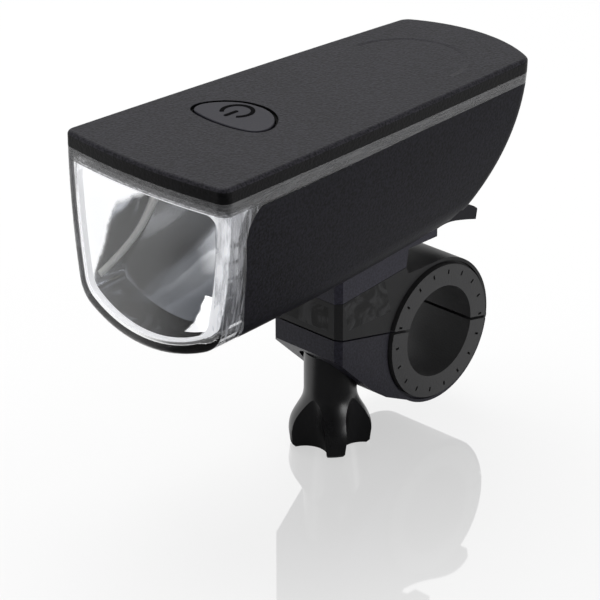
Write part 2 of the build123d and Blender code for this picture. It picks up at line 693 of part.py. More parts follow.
def make_battery_cells():
    """Four cells, neighbours pointing opposite ways."""
    can = Cylinder(CELL_RADIUS, CELL_LENGTH - CELL_NUB_LENGTH)
    can = fillet(can.edges().filter_by(GeomType.CIRCLE), CELL_EDGE_RADIUS)
    nub_place = (CELL_LENGTH - CELL_NUB_LENGTH) / 2 + CELL_NUB_LENGTH / 2
    can += Pos(0, 0, nub_place) * Cylinder(CELL_NUB_RADIUS, CELL_NUB_LENGTH)
    push = (SPRING_LENGTH + CELL_NUB_LENGTH) / 2 - CELL_NUB_LENGTH
    return [lengthwise(Pos(0, 0, push) * can, x, z, way) for x, z, way in cell_centres()]


def make_contact_springs():
    """Four wire springs behind the flat ends of the cells."""
    turn_height = SPRING_LENGTH - 2 * SPRING_WIRE
    path = Helix(turn_height / SPRING_TURNS, turn_height, SPRING_RADIUS)
    ring = Plane(origin=path @ 0, z_dir=path % 0) * Circle(SPRING_WIRE)
    coil = sweep(ring, path=path)
    foot = -(CELL_LENGTH + SPRING_LENGTH) / 2 + SPRING_WIRE
    return [lengthwise(Pos(0, 0, foot) * coil, x, z, way) for x, z, way in cell_centres()]


def make_contact_plates():
    """Two metal plates that join the cells at the ends of the tray."""
    middle = TRAY_TOP + (CELL_FOOT - TRAY_TOP) / 2
    top = middle - CONTACT_HALF_HEIGHT
    foot = middle + CONTACT_HALF_HEIGHT
    front = TRAY_FRONT + TRAY_WALL
    rear = TRAY_REAR - TRAY_WALL
    first = block(CONTACT_HALF_WIDTH, front, front + CONTACT_THICKNESS, top, foot)
    return [first, block(CONTACT_HALF_WIDTH, rear - CONTACT_THICKNESS, rear, top, foot)]


def make_battery_tray():
    """Open tray with a floor, two low sides and two end walls."""
    tray = block(TRAY_HALF_WIDTH, TRAY_FRONT, TRAY_REAR, TRAY_TOP, TRAY_FOOT)
    side = TRAY_HALF_WIDTH - TRAY_WALL
    tray -= block(side, TRAY_FRONT + TRAY_WALL, TRAY_REAR - TRAY_WALL, TRAY_TOP - OVERRUN, CELL_FOOT)
    side_top = CELL_FOOT - TRAY_SIDE_HEIGHT
    inside = block(REACH / 2, TRAY_FRONT + TRAY_WALL, TRAY_REAR - TRAY_WALL, 0, side_top)
    return tray - inside


def make_battery_leads():
    """Two short wires from the tray's front wall over to the board."""
    height = -BOARD_TOP + LEAD_RADIUS
    end = TRAY_FRONT + TRAY_WALL / 2
    bend = Polyline((0, CEILING_REAR - LEAD_REACH, height), (0, end, height), (0, end, -TRAY_TOP))
    corner = bend.vertices().sort_by_distance((0, end, height))[0]
    path = fillet(corner, LEAD_BEND)
    ring = Plane(origin=path @ 0, z_dir=path % 0) * Circle(LEAD_RADIUS)
    return both_sides(Pos(LEAD_SIDE, 0, 0) * sweep(ring, path=path))


def base_outline():
    """Side view of the base: level with the lamp above, with the turning seam below."""
    step = [(BASE_STEP_PLACE, BASE_REAR_DEPTH), (BASE_SEAM_REAR, base_seam(BASE_SEAM_REAR))]
    front = (CLAMP_FRONT, base_seam(CLAMP_FRONT))
    return [(CLAMP_FRONT, RAIL_TOP), (BASE_REAR, RAIL_TOP), (BASE_REAR, BASE_REAR_DEPTH), *step, front]


def seam_frame(place, depth):
    """A place on the lamp's centre plane with its Z axis square to the turning seam."""
    return Pos(0, place, -depth) * Rot(BASE_SEAM_SLOPE, 0, 0)


def make_mount_base(outside):
    """Block with the slide rail, cheeks that hug the lamp and a fork for the tongue."""
    body = side_prism(base_outline(), CLAMP_HALF_WIDTH)
    corners = body.edges().filter_by(Axis.Z).group_by(Axis.Y)[0]
    body = chamfer(corners, CLAMP_CORNER) - outside
    rail = block(RAIL_HALF_WIDTH, RAIL_FRONT, RAIL_REAR, RAIL_TOP, HEAD_FOOT)
    rail += block(RAIL_NECK_HALF_WIDTH, RAIL_FRONT, RAIL_REAR, HEAD_FOOT, MIDDLE_DEPTH + OVERRUN / 2)
    body += rail
    wall = TONGUE_HINGE[0] - TONGUE_KNUCKLE_RADIUS - SEAT_GAP / 2
    body -= block(TONGUE_HALF_WIDTH + TONGUE_GAP, wall, REACH, RAIL_TOP, BASE_SEAM_DEPTH)
    body -= cross_rod(TONGUE_PIN_RADIUS, TONGUE_PIN_HALF_WIDTH, *TONGUE_HINGE)
    return body - swivel_hole()


def swivel_hole():
    """Stepped hole for the swivel screw, drawn square to the turning seam."""
    frame = seam_frame(SWIVEL_PLACE, base_seam(SWIVEL_PLACE))
    hole = Cylinder(SWIVEL_SCREW_RADIUS + SHAFT_GAP, 2 * RAIL_TOP)
    wide = Cylinder(SWIVEL_HEAD_RADIUS + SLIDE_GAP, RAIL_TOP, align=(Align.CENTER, Align.CENTER, Align.MIN))
    return frame * (hole + Pos(0, 0, SWIVEL_FLOOR) * wide)


def make_swivel_washer():
    """Thin washer between the swivel screw's head and the base."""
    frame = seam_frame(SWIVEL_PLACE, base_seam(SWIVEL_PLACE))
    bottom = (Align.CENTER, Align.CENTER, Align.MIN)
    ring = Cylinder(SWIVEL_HEAD_RADIUS, SWIVEL_WASHER_THICKNESS, align=bottom)
    ring -= Cylinder(SWIVEL_SCREW_RADIUS, 2 * SWIVEL_WASHER_THICKNESS)
    return frame * Pos(0, 0, SWIVEL_FLOOR + SHAFT_GAP) * ring


def make_swivel_screw():
    """Screw that lets the lamp turn a little on the clamp."""
    frame = seam_frame(SWIVEL_PLACE, base_seam(SWIVEL_PLACE))
    bottom = (Align.CENTER, Align.CENTER, Align.MIN)
    start = SWIVEL_FLOOR + SHAFT_GAP + SWIVEL_WASHER_THICKNESS
    head = Pos(0, 0, start) * Cylinder(SWIVEL_HEAD_RADIUS, SWIVEL_HEAD, align=bottom)
    shank = Cylinder(SWIVEL_SCREW_RADIUS, start + SWIVEL_SCREW_REACH, align=bottom)
    return frame * (head + Pos(0, 0, -SWIVEL_SCREW_REACH) * shank)


def make_release_tongue():
    """Curved tongue with a round knuckle at its root."""
    place, height = TONGUE_HINGE
    top = Spline(*[(place + behind, height + above) for behind, above in TONGUE_TOP])
    foot = Spline(*[(place + behind, height + above) for behind, above in TONGUE_FOOT])
    tip = Line(top @ 1, foot @ 0)
    root = Line(foot @ 1, top @ 0)
    tongue = extrude(Plane.YZ * make_face([top, tip, foot, root]), TONGUE_HALF_WIDTH, both=True)
    tongue = fillet(tongue.edges().filter_by(Axis.X).sort_by(Axis.Y)[-2:], TONGUE_EDGE_RADIUS)
    tongue += cross_rod(TONGUE_KNUCKLE_RADIUS, TONGUE_HALF_WIDTH, *TONGUE_HINGE)
    return tongue - cross_rod(TONGUE_PIN_RADIUS + SHAFT_GAP, CLAMP_HALF_WIDTH, *TONGUE_HINGE)


def make_tongue_pin():
    """Pin that the tongue turns on, pressed into the fork."""
    return cross_rod(TONGUE_PIN_RADIUS, TONGUE_PIN_HALF_WIDTH, *TONGUE_HINGE)


def jaw_zone(upper):
    """Side view of all that lies above or below the seam between the jaws."""
    sign = -1 if upper else 1
    near = -REACH / 2
    far = REACH / 2
    gap = sign * JAW_GAP / 2
    deep = JAW_SEAM_DEPTH + sign * REACH
    points = [(near, jaw_seam(near) + gap), (far, jaw_seam(far) + gap), (far, deep), (near, deep)]
    return side_prism(points, REACH / 2)


def ring_bore(radius):
    return cross_rod(radius, REACH / 2, BAR_BEHIND_MIDDLE, -BAR_BELOW_TOP)


def ring_step():
    """Shallow step on both side faces round the bore."""
    step = ring_bore(PAD_OUTER + RING_STEP_WALL)
    inner = CLAMP_HALF_WIDTH - RING_STEP_DEPTH
    return step - block(inner, -REACH, REACH, 0, REACH)


def knuckle(radius, inner, outer):
    """Hinge knuckle between two distances from the centre plane, on both sides."""
    bar = cross_rod(radius, outer, HINGE_PLACE, HINGE_HEIGHT)
    if inner:
        bar -= cross_rod(2 * radius, inner, HINGE_PLACE, HINGE_HEIGHT)
    return bar


def clamp_ring():
    return cross_rod(RING_OUTER, CLAMP_HALF_WIDTH, BAR_BEHIND_MIDDLE, -BAR_BELOW_TOP)


def make_upper_jaw():
    """Upper half of the clamp: the turning seat on top and half of the ring."""
    shoulder = BASE_SEAM_REAR + SHOULDER_SLOPE
    points = [(CLAMP_FRONT, base_seam(CLAMP_FRONT) + BASE_SEAM_GAP)]
    points += [(BASE_SEAM_REAR, base_seam(BASE_SEAM_REAR) + BASE_SEAM_GAP), (shoulder, RING_TOP)]
    points += [(BAR_BEHIND_MIDDLE, RING_TOP), (BAR_BEHIND_MIDDLE, BAR_BELOW_TOP)]
    points += [(CLAMP_FRONT, BAR_BELOW_TOP)]
    body = side_prism(points, CLAMP_HALF_WIDTH)
    corners = body.edges().filter_by(Axis.Z).group_by(Axis.Y)[0]
    body = chamfer(corners, CLAMP_CORNER)
    body = (body + clamp_ring()) & jaw_zone(True)
    outer_half = CLAMP_HALF_WIDTH
    inner_half = HINGE_KNUCKLE_HALF_WIDTH + HINGE_GAP
    body += knuckle(KNUCKLE_RADIUS, inner_half, outer_half)
    body -= knuckle(KNUCKLE_RADIUS + HINGE_GAP, 0, inner_half)
    body -= ring_bore(PAD_OUTER)
    body -= cross_rod(HINGE_PIN_RADIUS, HINGE_PIN_HALF_WIDTH, HINGE_PLACE, HINGE_HEIGHT)
    return upper_jaw_cuts(body) - ring_step()


def upper_jaw_cuts(body):
    """Screw holes and the nut's pocket in the upper jaw."""
    body -= rod(SCREW_RADIUS + SLIDE_GAP, SCREW_TOP - SLIDE_GAP, BAR_BELOW_TOP, 0, KNOB_PLACE)
    pocket = RegularPolygon(NUT_ACROSS_FLATS / 2, 6, major_radius=False, rotation=90)
    pocket = Pos(0, KNOB_PLACE, -NUT_FOOT) * extrude(pocket, NUT_HEIGHT)
    body -= pocket
    shank = Cylinder(SWIVEL_SCREW_RADIUS, 2 * SWIVEL_SCREW_REACH)
    return body - seam_frame(SWIVEL_PLACE, base_seam(SWIVEL_PLACE)) * shank


def make_lower_jaw():
    """Lower half of the clamp, with the well for the knob's stem."""
    points = [(CLAMP_FRONT, JAW_SEAM_DEPTH - OVERRUN)]
    points += [(CLAMP_FRONT + behind, JAW_SEAM_DEPTH + below) for behind, below in CHIN]
    points += [(BAR_BEHIND_MIDDLE, BAR_BELOW_TOP), (BAR_BEHIND_MIDDLE, JAW_SEAM_DEPTH - OVERRUN)]
    body = side_prism(points, CLAMP_HALF_WIDTH)
    corners = body.edges().filter_by(Axis.Z).group_by(Axis.Y)[0]
    body = chamfer(corners, CLAMP_CORNER)
    body = (body + clamp_ring()) & jaw_zone(False)
    inner_half = HINGE_KNUCKLE_HALF_WIDTH
    body -= knuckle(KNUCKLE_RADIUS + HINGE_GAP, inner_half, REACH)
    body += knuckle(KNUCKLE_RADIUS, 0, inner_half)
    body -= ring_bore(PAD_OUTER)
    body -= cross_rod(HINGE_PIN_RADIUS + SHAFT_GAP, REACH, HINGE_PLACE, HINGE_HEIGHT)
    body -= rod(SCREW_RADIUS + SCREW_SLOT_GAP, JAW_SEAM_DEPTH - OVERRUN, KNOB_TOP, 0, KNOB_PLACE)
    body -= rod(KNOB_STEM_RADIUS + WELL_GAP, WELL_TOP, KNOB_FOOT, 0, KNOB_PLACE)
    return body - ring_step()


def make_hinge_pin():
    """Pin of the clamp's hinge, hidden inside the ring's wall."""
    return cross_rod(HINGE_PIN_RADIUS, HINGE_PIN_HALF_WIDTH, HINGE_PLACE, HINGE_HEIGHT)


def make_pad(upper):
    """Half of the rubber lining of the bore, with small notches in its end faces."""
    ring = cross_rod(PAD_OUTER, PAD_HALF_WIDTH, BAR_BEHIND_MIDDLE, -BAR_BELOW_TOP)
    flange_radius = PAD_OUTER + PAD_FLANGE
    flange = cross_rod(flange_radius, PAD_HALF_WIDTH, BAR_BEHIND_MIDDLE, -BAR_BELOW_TOP)
    inner_face = CLAMP_HALF_WIDTH - RING_STEP_DEPTH + PAD_FLANGE_GAP
    ring += flange - block(inner_face, -REACH, REACH, 0, REACH)
    ring -= ring_bore(BAR_RADIUS)
    sign = 1 if upper else -1
    centre = Pos(0, BAR_BEHIND_MIDDLE, -BAR_BELOW_TOP)
    middle = PAD_OUTER + PAD_NOTCH_WIDTH / 2
    for i in range(PAD_NOTCH_COUNT):
        turn = 180 * (i + 1 / 2) / PAD_NOTCH_COUNT
        cut = Box(2 * PAD_NOTCH_DEPTH, PAD_NOTCH_LENGTH, PAD_NOTCH_WIDTH)
        spot = Rot(sign * turn - JAW_SEAM_SLOPE, 0, 0) * Pos(PAD_HALF_WIDTH, middle, 0)
        for notch in both_sides(centre * spot * cut):
            ring -= notch
    apart = Pos(0, 0, sign * PAD_END_GAP / 2) * jaw_zone(upper)
    return ring & apart


def make_thumb_knob():
    """Round stem that flares into four lobes with scoops between them."""
    flare = Spline((KNOB_STEM_RADIUS, -KNOB_STEM_FOOT), (KNOB_NECK_RADIUS, -KNOB_NECK_DEPTH),
                   (KNOB_WIDE_RADIUS, -KNOB_WIDE_DEPTH), tangents=((0, -1), (0, -1)))
    top = Polyline((0, -KNOB_TOP), (KNOB_STEM_RADIUS, -KNOB_TOP), (KNOB_STEM_RADIUS, -KNOB_STEM_FOOT))
    edge_top = KNOB_FOOT - KNOB_FOOT_EDGE
    edge_radius = KNOB_FOOT_RADIUS - KNOB_FOOT_EDGE
    foot = Polyline((KNOB_WIDE_RADIUS, -KNOB_WIDE_DEPTH), (KNOB_FOOT_RADIUS, -edge_top),
                    (edge_radius, -KNOB_FOOT), (0, -KNOB_FOOT))
    axis = Line((0, -KNOB_FOOT), (0, -KNOB_TOP))
    half = make_face([*top.edges(), flare, *foot.edges(), axis])
    knob = revolve(Plane.XZ * half, Axis.Z)
    for i in range(KNOB_LOBES):
        turn = KNOB_TURN + 360 * (i + 1 / 2) / KNOB_LOBES
        middle = Pos(KNOB_SCOOP_PLACE, 0, -KNOB_FOOT + KNOB_SCOOP_LENGTH / 2)
        scoop = Cylinder(KNOB_SCOOP_RADIUS, KNOB_SCOOP_LENGTH + 2 * OVERRUN)
        knob -= Rot(0, 0, turn) * middle * Rot(0, KNOB_SCOOP_LEAN, 0) * scoop
    knob -= rod(SCREW_RADIUS, KNOB_TOP - OVERRUN, SCREW_FOOT)
    return Pos(0, KNOB_PLACE, 0) * knob


def make_clamp_screw():
    """Screw that is fixed in the knob and runs up into the nut."""
    return rod(SCREW_RADIUS, SCREW_TOP, SCREW_FOOT, 0, KNOB_PLACE)


def make_seat_washer():
    """Washer between the knob and the lower jaw."""
    ring = rod(SEAT_WASHER_RADIUS, SEAT_TOP, KNOB_TOP, 0, KNOB_PLACE)
    return ring - rod(SCREW_RADIUS + SHAFT_GAP, SEAT_TOP - OVERRUN, KNOB_TOP + OVERRUN, 0, KNOB_PLACE)


def make_clamp_nut():
    """Hexagon nut at the bottom of its pocket in the upper jaw."""
    hexagon = RegularPolygon(NUT_ACROSS_FLATS / 2, 6, major_radius=False, rotation=90)
    nut = Pos(0, KNOB_PLACE, -NUT_FOOT) * extrude(hexagon, NUT_HEIGHT)
    return nut - rod(SCREW_RADIUS + SHAFT_GAP, SCREW_TOP, BAR_BELOW_TOP, 0, KNOB_PLACE)


def make_all():
    """Every piece by its name."""
    outer = hull(0)
    inner = hull(WALL)
    wide = hull(BOWL_OUTER_INSET)
    return {
        "top_cover": make_top_cover(outer, inner),
        "power_button": make_power_button(),
        "button_seal": make_button_seal(),
        "tact_switch": make_tact_switch(),
        "main_board": make_main_board(),
        "board_screws": make_board_screws(),
        "heat_plate": make_heat_plate(),
        "light_chip": make_light_chip(),
        "reflector": make_reflector(wide),
        "reflector_rim": make_reflector_rim(wide),
        "clear_lens": make_clear_lens(outer, inner),
        "case_seal": make_case_seal(),
        "lower_shell": make_lower_shell(outer, inner),
        "case_screws": make_case_screws(),
        "battery_tray": make_battery_tray(),
        "battery_cells": make_battery_cells(),
        "contact_springs": make_contact_springs(),
        "contact_plates": make_contact_plates(),
        "battery_leads": make_battery_leads(),
        "mount_base": make_mount_base(hull(-SEAT_GAP)),
        "swivel_washer": make_swivel_washer(),
        "swivel_screw": make_swivel_screw(),
        "release_tongue": make_release_tongue(),
        "tongue_pin": make_tongue_pin(),
        "upper_jaw": make_upper_jaw(),
        "lower_jaw": make_lower_jaw(),
        "hinge_pin": make_hinge_pin(),
        "upper_pad": make_pad(True),
        "lower_pad": make_pad(False),
        "thumb_knob": make_thumb_knob(),
        "clamp_screw": make_clamp_screw(),
        "seat_washer": make_seat_washer(),
        "clamp_nut": make_clamp_nut(),
    }


def solids_of(piece):
    """All the solids of a piece or of a list of pieces."""
    group = piece if isinstance(piece, list) else [piece]
    return [solid for item in group for solid in item.solids()]


HOME = Pos(0, -BAR_BEHIND_MIDDLE, BAR_BELOW_TOP)
for name, piece in make_all().items():
    solids = [HOME * solid for solid in solids_of(piece)]
    print(name, len(solids), round(sum(solid.volume for solid in solids), 1))
    whole = solids[0] if len(solids) == 1 else Compound(children=solids)
    export_step(whole, f"parts/{name}.step")
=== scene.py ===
# %% [markdown]
# A bike headlight on its handlebar clamp, dressed for a picture.
# The solids come ready made from the CAD model, in metres, and stay where they are.
# What is left for Blender is the small relief that the eye reads as real: the grain of moulded
# plastic, the mirror of the bowl, the clear front, the symbol on the button, and the light.

import math

import bpy
from mathutils import Matrix, Vector


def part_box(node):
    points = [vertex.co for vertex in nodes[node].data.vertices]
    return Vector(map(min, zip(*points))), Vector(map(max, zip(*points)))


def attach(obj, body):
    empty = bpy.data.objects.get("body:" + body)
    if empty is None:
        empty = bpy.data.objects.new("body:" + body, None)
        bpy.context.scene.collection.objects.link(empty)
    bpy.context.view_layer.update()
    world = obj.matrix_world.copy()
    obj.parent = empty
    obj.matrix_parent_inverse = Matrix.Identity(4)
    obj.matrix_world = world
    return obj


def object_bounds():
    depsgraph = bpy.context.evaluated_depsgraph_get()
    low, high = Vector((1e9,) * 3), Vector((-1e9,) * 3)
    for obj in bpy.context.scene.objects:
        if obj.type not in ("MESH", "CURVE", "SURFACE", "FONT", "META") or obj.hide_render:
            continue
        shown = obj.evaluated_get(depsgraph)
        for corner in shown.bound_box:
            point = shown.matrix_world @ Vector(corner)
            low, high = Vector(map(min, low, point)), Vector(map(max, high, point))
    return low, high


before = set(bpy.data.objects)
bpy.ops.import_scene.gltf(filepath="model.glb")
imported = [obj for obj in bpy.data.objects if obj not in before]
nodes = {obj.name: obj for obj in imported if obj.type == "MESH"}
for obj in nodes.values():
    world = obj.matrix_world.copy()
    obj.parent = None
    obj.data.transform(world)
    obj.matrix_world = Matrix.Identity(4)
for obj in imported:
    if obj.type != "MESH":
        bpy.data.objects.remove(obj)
cad_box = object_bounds()
MM = 0.001
print("nodes", len(nodes), "box", [round(v / MM, 1) for v in (*cad_box[0], *cad_box[1])])

# %% [markdown]
# Shader maths reads best as plain expressions. The class below wraps one socket, so that
# grain * 0.2 + 0.5 adds the Math nodes by itself. Finish builds one material, and its node
# method is the single place where any node is made. The Mix node has a set of sockets for
# each kind of data, and MIX_INPUTS and MIX_RESULT are the places of those for colours.

# %% Sockets that can be added and multiplied
MIX_INPUTS = (0, 6, 7)
MIX_RESULT = 2


class Value:
    """One socket of a material, ready for arithmetic."""

    def __init__(self, finish, socket):
        self.finish = finish
        self.socket = socket

    def combine(self, operation, first, second=None):
        inputs = {0: first} if second is None else {0: first, 1: second}
        return self.finish.node("ShaderNodeMath", {"operation": operation}, inputs).value()

    def __add__(self, other):
        return self.combine("ADD", self, other)

    def __sub__(self, other):
        return self.combine("SUBTRACT", self, other)

    def __rsub__(self, other):
        return self.combine("SUBTRACT", other, self)

    def __mul__(self, other):
        return self.combine("MULTIPLY", self, other)

    def __truediv__(self, other):
        return self.combine("DIVIDE", self, other)

    def __gt__(self, other):
        return self.combine("GREATER_THAN", self, other)

    def __lt__(self, other):
        return self.combine("LESS_THAN", self, other)

    def largest(self, other):
        return self.combine("MAXIMUM", self, other)

    def size(self):
        return self.combine("ABSOLUTE", self)

    def root(self):
        return self.combine("SQRT", self)

    __radd__ = __add__
    __rmul__ = __mul__


class Step:
    """One node of a material, asked for its outputs by name."""

    def __init__(self, finish, node):
        self.finish = finish
        self.node = node

    def value(self, name=0):
        return Value(self.finish, self.node.outputs[name])


class Finish:
    """One procedural material and the few steps that most of them share."""

    def __init__(self, name, world=None):
        self.material = world or bpy.data.materials.new(name)
        self.material.use_nodes = True
        self.material.node_tree.nodes.clear()
        self.output = self.node("ShaderNodeOutputWorld" if world else "ShaderNodeOutputMaterial")

    def node(self, kind, settings=None, inputs=None):
        node = self.material.node_tree.nodes.new(kind)
        for name, setting in (settings or {}).items():
            if name == "stops":
                self.set_stops(node.color_ramp, setting)
            else:
                setattr(node, name, setting)
        for name, given in (inputs or {}).items():
            if isinstance(given, Value):
                self.material.node_tree.links.new(given.socket, node.inputs[name])
            else:
                node.inputs[name].default_value = given
        return Step(self, node)

    @staticmethod
    def set_stops(ramp, stops):
        while len(ramp.elements) < len(stops):
            ramp.elements.new(1.0)
        for element, (place, shade) in zip(ramp.elements, stops):
            element.position = place
            element.color = (shade, shade, shade, 1.0)

    def place(self, centre=(0, 0, 0), scale=(1, 1, 1)):
        """Object coordinates, moved and stretched by a Mapping node."""
        coordinates = self.node("ShaderNodeTexCoord").value("Object")
        shift = [-c * s for c, s in zip(centre, scale)]
        inputs = {"Vector": coordinates, "Location": shift, "Scale": scale}
        return self.node("ShaderNodeMapping", None, inputs).value("Vector")

    def axes(self, vector):
        parts = self.node("ShaderNodeSeparateXYZ", None, {"Vector": vector})
        return [parts.value(name) for name in "XYZ"]

    def noise(self, vector, size, detail, twist=0.0):
        """Cloudy noise whose lumps are about one size across, in metres."""
        inputs = {"Vector": vector, "Scale": 1 / size, "Detail": detail, "Distortion": twist}
        return self.node("ShaderNodeTexNoise", None, inputs).value(0)

    def cells(self, vector, size):
        """Distance from the nearest of many scattered points, in shares of their spacing."""
        inputs = {"Vector": vector, "Scale": 1 / size}
        return self.node("ShaderNodeTexVoronoi", None, inputs).value(0)

    def ramp(self, factor, stops):
        return self.node("ShaderNodeValToRGB", {"stops": stops}, {"Fac": factor}).value(0)

    def tint(self, factor, first, second):
        """Goes from one colour to another. Each is three numbers or the result of a node."""
        ends = [(*end, 1.0) if isinstance(end, tuple) else end for end in (first, second)]
        inputs = dict(zip(MIX_INPUTS, (factor, *ends)))
        return self.node("ShaderNodeMix", {"data_type": "RGBA"}, inputs).value(MIX_RESULT)

    def bump(self, height, depth, strength, normal=None):
        inputs = {"Height": height, "Distance": depth, "Strength": strength}
        if normal is not None:
            inputs["Normal"] = normal
        return self.node("ShaderNodeBump", None, inputs).value(0)

    @staticmethod
    def within(value, low, high):
        """1 where a value lies between two limits, and 0 elsewhere."""
        return (value > low) * (value < high)

    def soft_edge(self, distance, width, stops):
        """Runs through the stops over a width, with the line itself in the middle."""
        return self.ramp(distance / width + 0.5, stops)

    def blend(self, share, first, second):
        """Mixes two shaders."""
        inputs = {0: share, 1: first, 2: second}
        return self.node("ShaderNodeMixShader", None, inputs).value()

    def principled(self, **inputs):
        named = {name.replace("_", " "): given for name, given in inputs.items()}
        return self.node("ShaderNodeBsdfPrincipled", None, named).value(0)

    def end(self, shader):
        """Ends the material in a shader and returns the finished material."""
        self.material.node_tree.links.new(shader.socket, self.output.node.inputs[0])
        return self.material

    def surface(self, **inputs):
        return self.end(self.principled(**inputs))


def dress(material, *names):
    """Gives one material to CAD nodes."""
    for name in names:
        slots = nodes[name].data.materials
        slots.clear()
        slots.append(material)
    print(material.name, "on", ", ".join(names))


# %% [markdown]
# Most of the lamp is black moulded plastic. The mould is spark-eroded, which leaves a fine
# even grain about half a millimetre across. A flat dark colour would look like a hole, so the
# grain goes into the bump, the colour and a little into the roughness, and a wide slow noise
# keeps large faces from looking printed. The black is a cool one, with more blue than green.

# %% Grained black plastic
GRAIN_CONTRAST = ((0.0, 0.0), (0.36, 0.0), (0.64, 1.0))
GRAIN_SHARE = 0.6
PIT_SPACING = 1.6
CLOUD_SIZE = 18 * MM
COOL_CAST = (1.0, 0.96, 1.4)
ROUGH_SWING = 0.12
CLOUD_SWING = 0.06
GRAIN_STRENGTH = 0.55


def grain_relief(fine, pits):
    """Height of the grain: low lumps with pits between them."""
    return fine * 0.6 + pits * 0.5


def grained_plastic(name, dark, light, roughness, grain, depth, shine):
    """Moulded plastic with a fine grain, from one base shade to a slightly lighter one."""
    finish = Finish(name)
    spot = finish.place()
    fine = finish.noise(spot, grain, 1.0)
    pits = finish.cells(spot, grain * PIT_SPACING)
    cloud = finish.noise(spot, CLOUD_SIZE, 3.0)
    specks = finish.ramp(fine, GRAIN_CONTRAST)
    low, high = [tuple(shade * cast for cast in COOL_CAST) for shade in (dark, light)]
    return finish.surface(
        Base_Color=finish.tint(cloud * (1 - GRAIN_SHARE) + specks * GRAIN_SHARE, low, high),
        Roughness=roughness + (fine - 0.5) * ROUGH_SWING + (cloud - 0.5) * CLOUD_SWING,
        Specular_IOR_Level=shine,
        Normal=finish.bump(grain_relief(fine, pits), depth, GRAIN_STRENGTH),
    )


# Name, darkest and lightest shade, roughness, size and depth of the grain in mm, shine, nodes.
PLASTICS = (
    ("button_grain", 0.013, 0.018, 0.46, 0.3, 0.03, 0.15, "power_button"),
    ("shell_grain", 0.001, 0.014, 0.52, 0.55, 0.09, 0.08, "lower_shell"),
    ("clamp_grain", 0.008, 0.022, 0.42, 0.5, 0.05, 0.14, "lower_jaw"),
    # mount_base: a lighter copy of the clamp plastic, painted light for its lit side faces
    ("base_grain_painted_light", 0.014, 0.03, 0.42, 0.5, 0.05, 0.14, "mount_base"),
    ("tongue_grain", 0.006, 0.01, 0.4, 0.4, 0.03, 0.1, "release_tongue"),
    ("tray_grain", 0.02, 0.028, 0.5, 0.5, 0.03, 0.3, "battery_tray", "tact_switch"),
)
for name, dark, light, roughness, grain, depth, shine, *names in PLASTICS:
    dress(grained_plastic(name, dark, light, roughness, grain * MM, depth * MM, shine), *names)

# %% [markdown]
# Two mouldings have a mark of their own. The cover is pressed in a little inside a soft arc at
# its rear. Its skirt, which faces sideways, is darkened with painted shade, and the groove round
# the button is so narrow that no light gets down to its floor, so that floor is painted black
# as shadow. The upper jaw has a patch of coarse swirled tool marks on its sides and on its
# front. Each is a mask on the grain, so the plastic stays one plastic.

# %% Cover with a soft arc at its rear
COVER_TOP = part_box("top_cover")[1][2]
BUTTON_LOW, BUTTON_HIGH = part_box("power_button")
COVER_GRAIN = 0.5 * MM
COVER_PITS = 0.8 * MM
COVER_RELIEF = 0.1 * MM
COVER_DARK = (0.003, 0.0029, 0.004)
COVER_LIGHT = (0.028, 0.027, 0.034)
ARC_CENTRE = (0.0, -1.0 * MM, COVER_TOP)
ARC_RADIUS = 14.6 * MM
ARC_STEP = ((0.0, 0.0), (0.462, 0.0), (0.505, 1.0))
ARC_DEPTH = 0.25 * MM
GROOVE_HEIGHTS = (COVER_TOP - 5 * MM, COVER_TOP - 0.12 * MM)
SKIRT_HEIGHTS = (COVER_TOP - 9 * MM, COVER_TOP - 0.8 * MM)
SKIRT_SHADE_SHARE = 0.85
PAINTED_SHADE_BLACK = (0.001, 0.001, 0.001)


def cover_plastic():
    """The cover's grain, with a shallow step along an arc, painted shade on the skirt and a
    painted shadow on the groove floor.
    """
    finish = Finish("cover_grain_painted_shade")
    spot = finish.place()
    fine = finish.noise(spot, COVER_GRAIN, 1.0)
    pits = finish.cells(spot, COVER_PITS)
    cloud = finish.noise(spot, CLOUD_SIZE, 3.0)
    x, y, _ = finish.axes(finish.place(ARC_CENTRE))
    reach = (x * x + y * y).root() / ARC_RADIUS
    step = finish.ramp(reach * 0.5, ARC_STEP) * (y > 0)
    x, y, z = finish.axes(spot)
    groove = finish.within(z, *GROOVE_HEIGHTS)
    groove = groove * finish.within(x, BUTTON_LOW[0], BUTTON_HIGH[0])
    groove = groove * finish.within(y, BUTTON_LOW[1], BUTTON_HIGH[1])
    specks = finish.ramp(fine, GRAIN_CONTRAST)
    top = finish.tint(cloud * 0.3 + specks * 0.7, COVER_DARK, COVER_LIGHT)
    # painted shade: the sideways-facing skirt is darkened towards black
    colour = finish.tint(finish.within(z, *SKIRT_HEIGHTS) * SKIRT_SHADE_SHARE, top, PAINTED_SHADE_BLACK)
    soft = finish.bump(step, ARC_DEPTH, 0.9)
    return finish.surface(
        # painted shadow: the floor of the groove round the button is black
        Base_Color=finish.tint(groove, colour, PAINTED_SHADE_BLACK),
        Roughness=0.5 + (fine - 0.5) * ROUGH_SWING + groove * 0.3,
        Specular_IOR_Level=0.1,
        Normal=finish.bump(grain_relief(fine, pits), COVER_RELIEF, 0.8, soft),
    )


dress(cover_plastic(), "top_cover")

# %% Upper jaw with rough patches
JAW_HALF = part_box("upper_jaw")[1][0]
JAW_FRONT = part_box("upper_jaw")[0][1]
JAW_SKIN = 0.2 * MM
JAW_GRAIN = 0.45 * MM
JAW_CLOUD = 6 * MM
JAW_RELIEF = 0.06 * MM
SIDE_LENGTHS = (-27.5 * MM, -13.5 * MM)
SIDE_LEAN = 0.25
SIDE_HEIGHTS = (10.2 * MM, 18.5 * MM)
FRONT_WIDTHS = (-6.8 * MM, 7.4 * MM)
FRONT_HEIGHTS = (10 * MM, 16 * MM)
SWIRL_SIZE = 6.5 * MM
SWIRL_TWIST = 2.5
SWIRL_STEPS = ((0.0, 0.0), (0.46, 0.1), (0.62, 1.0))
SWIRL_SHARE = 0.6


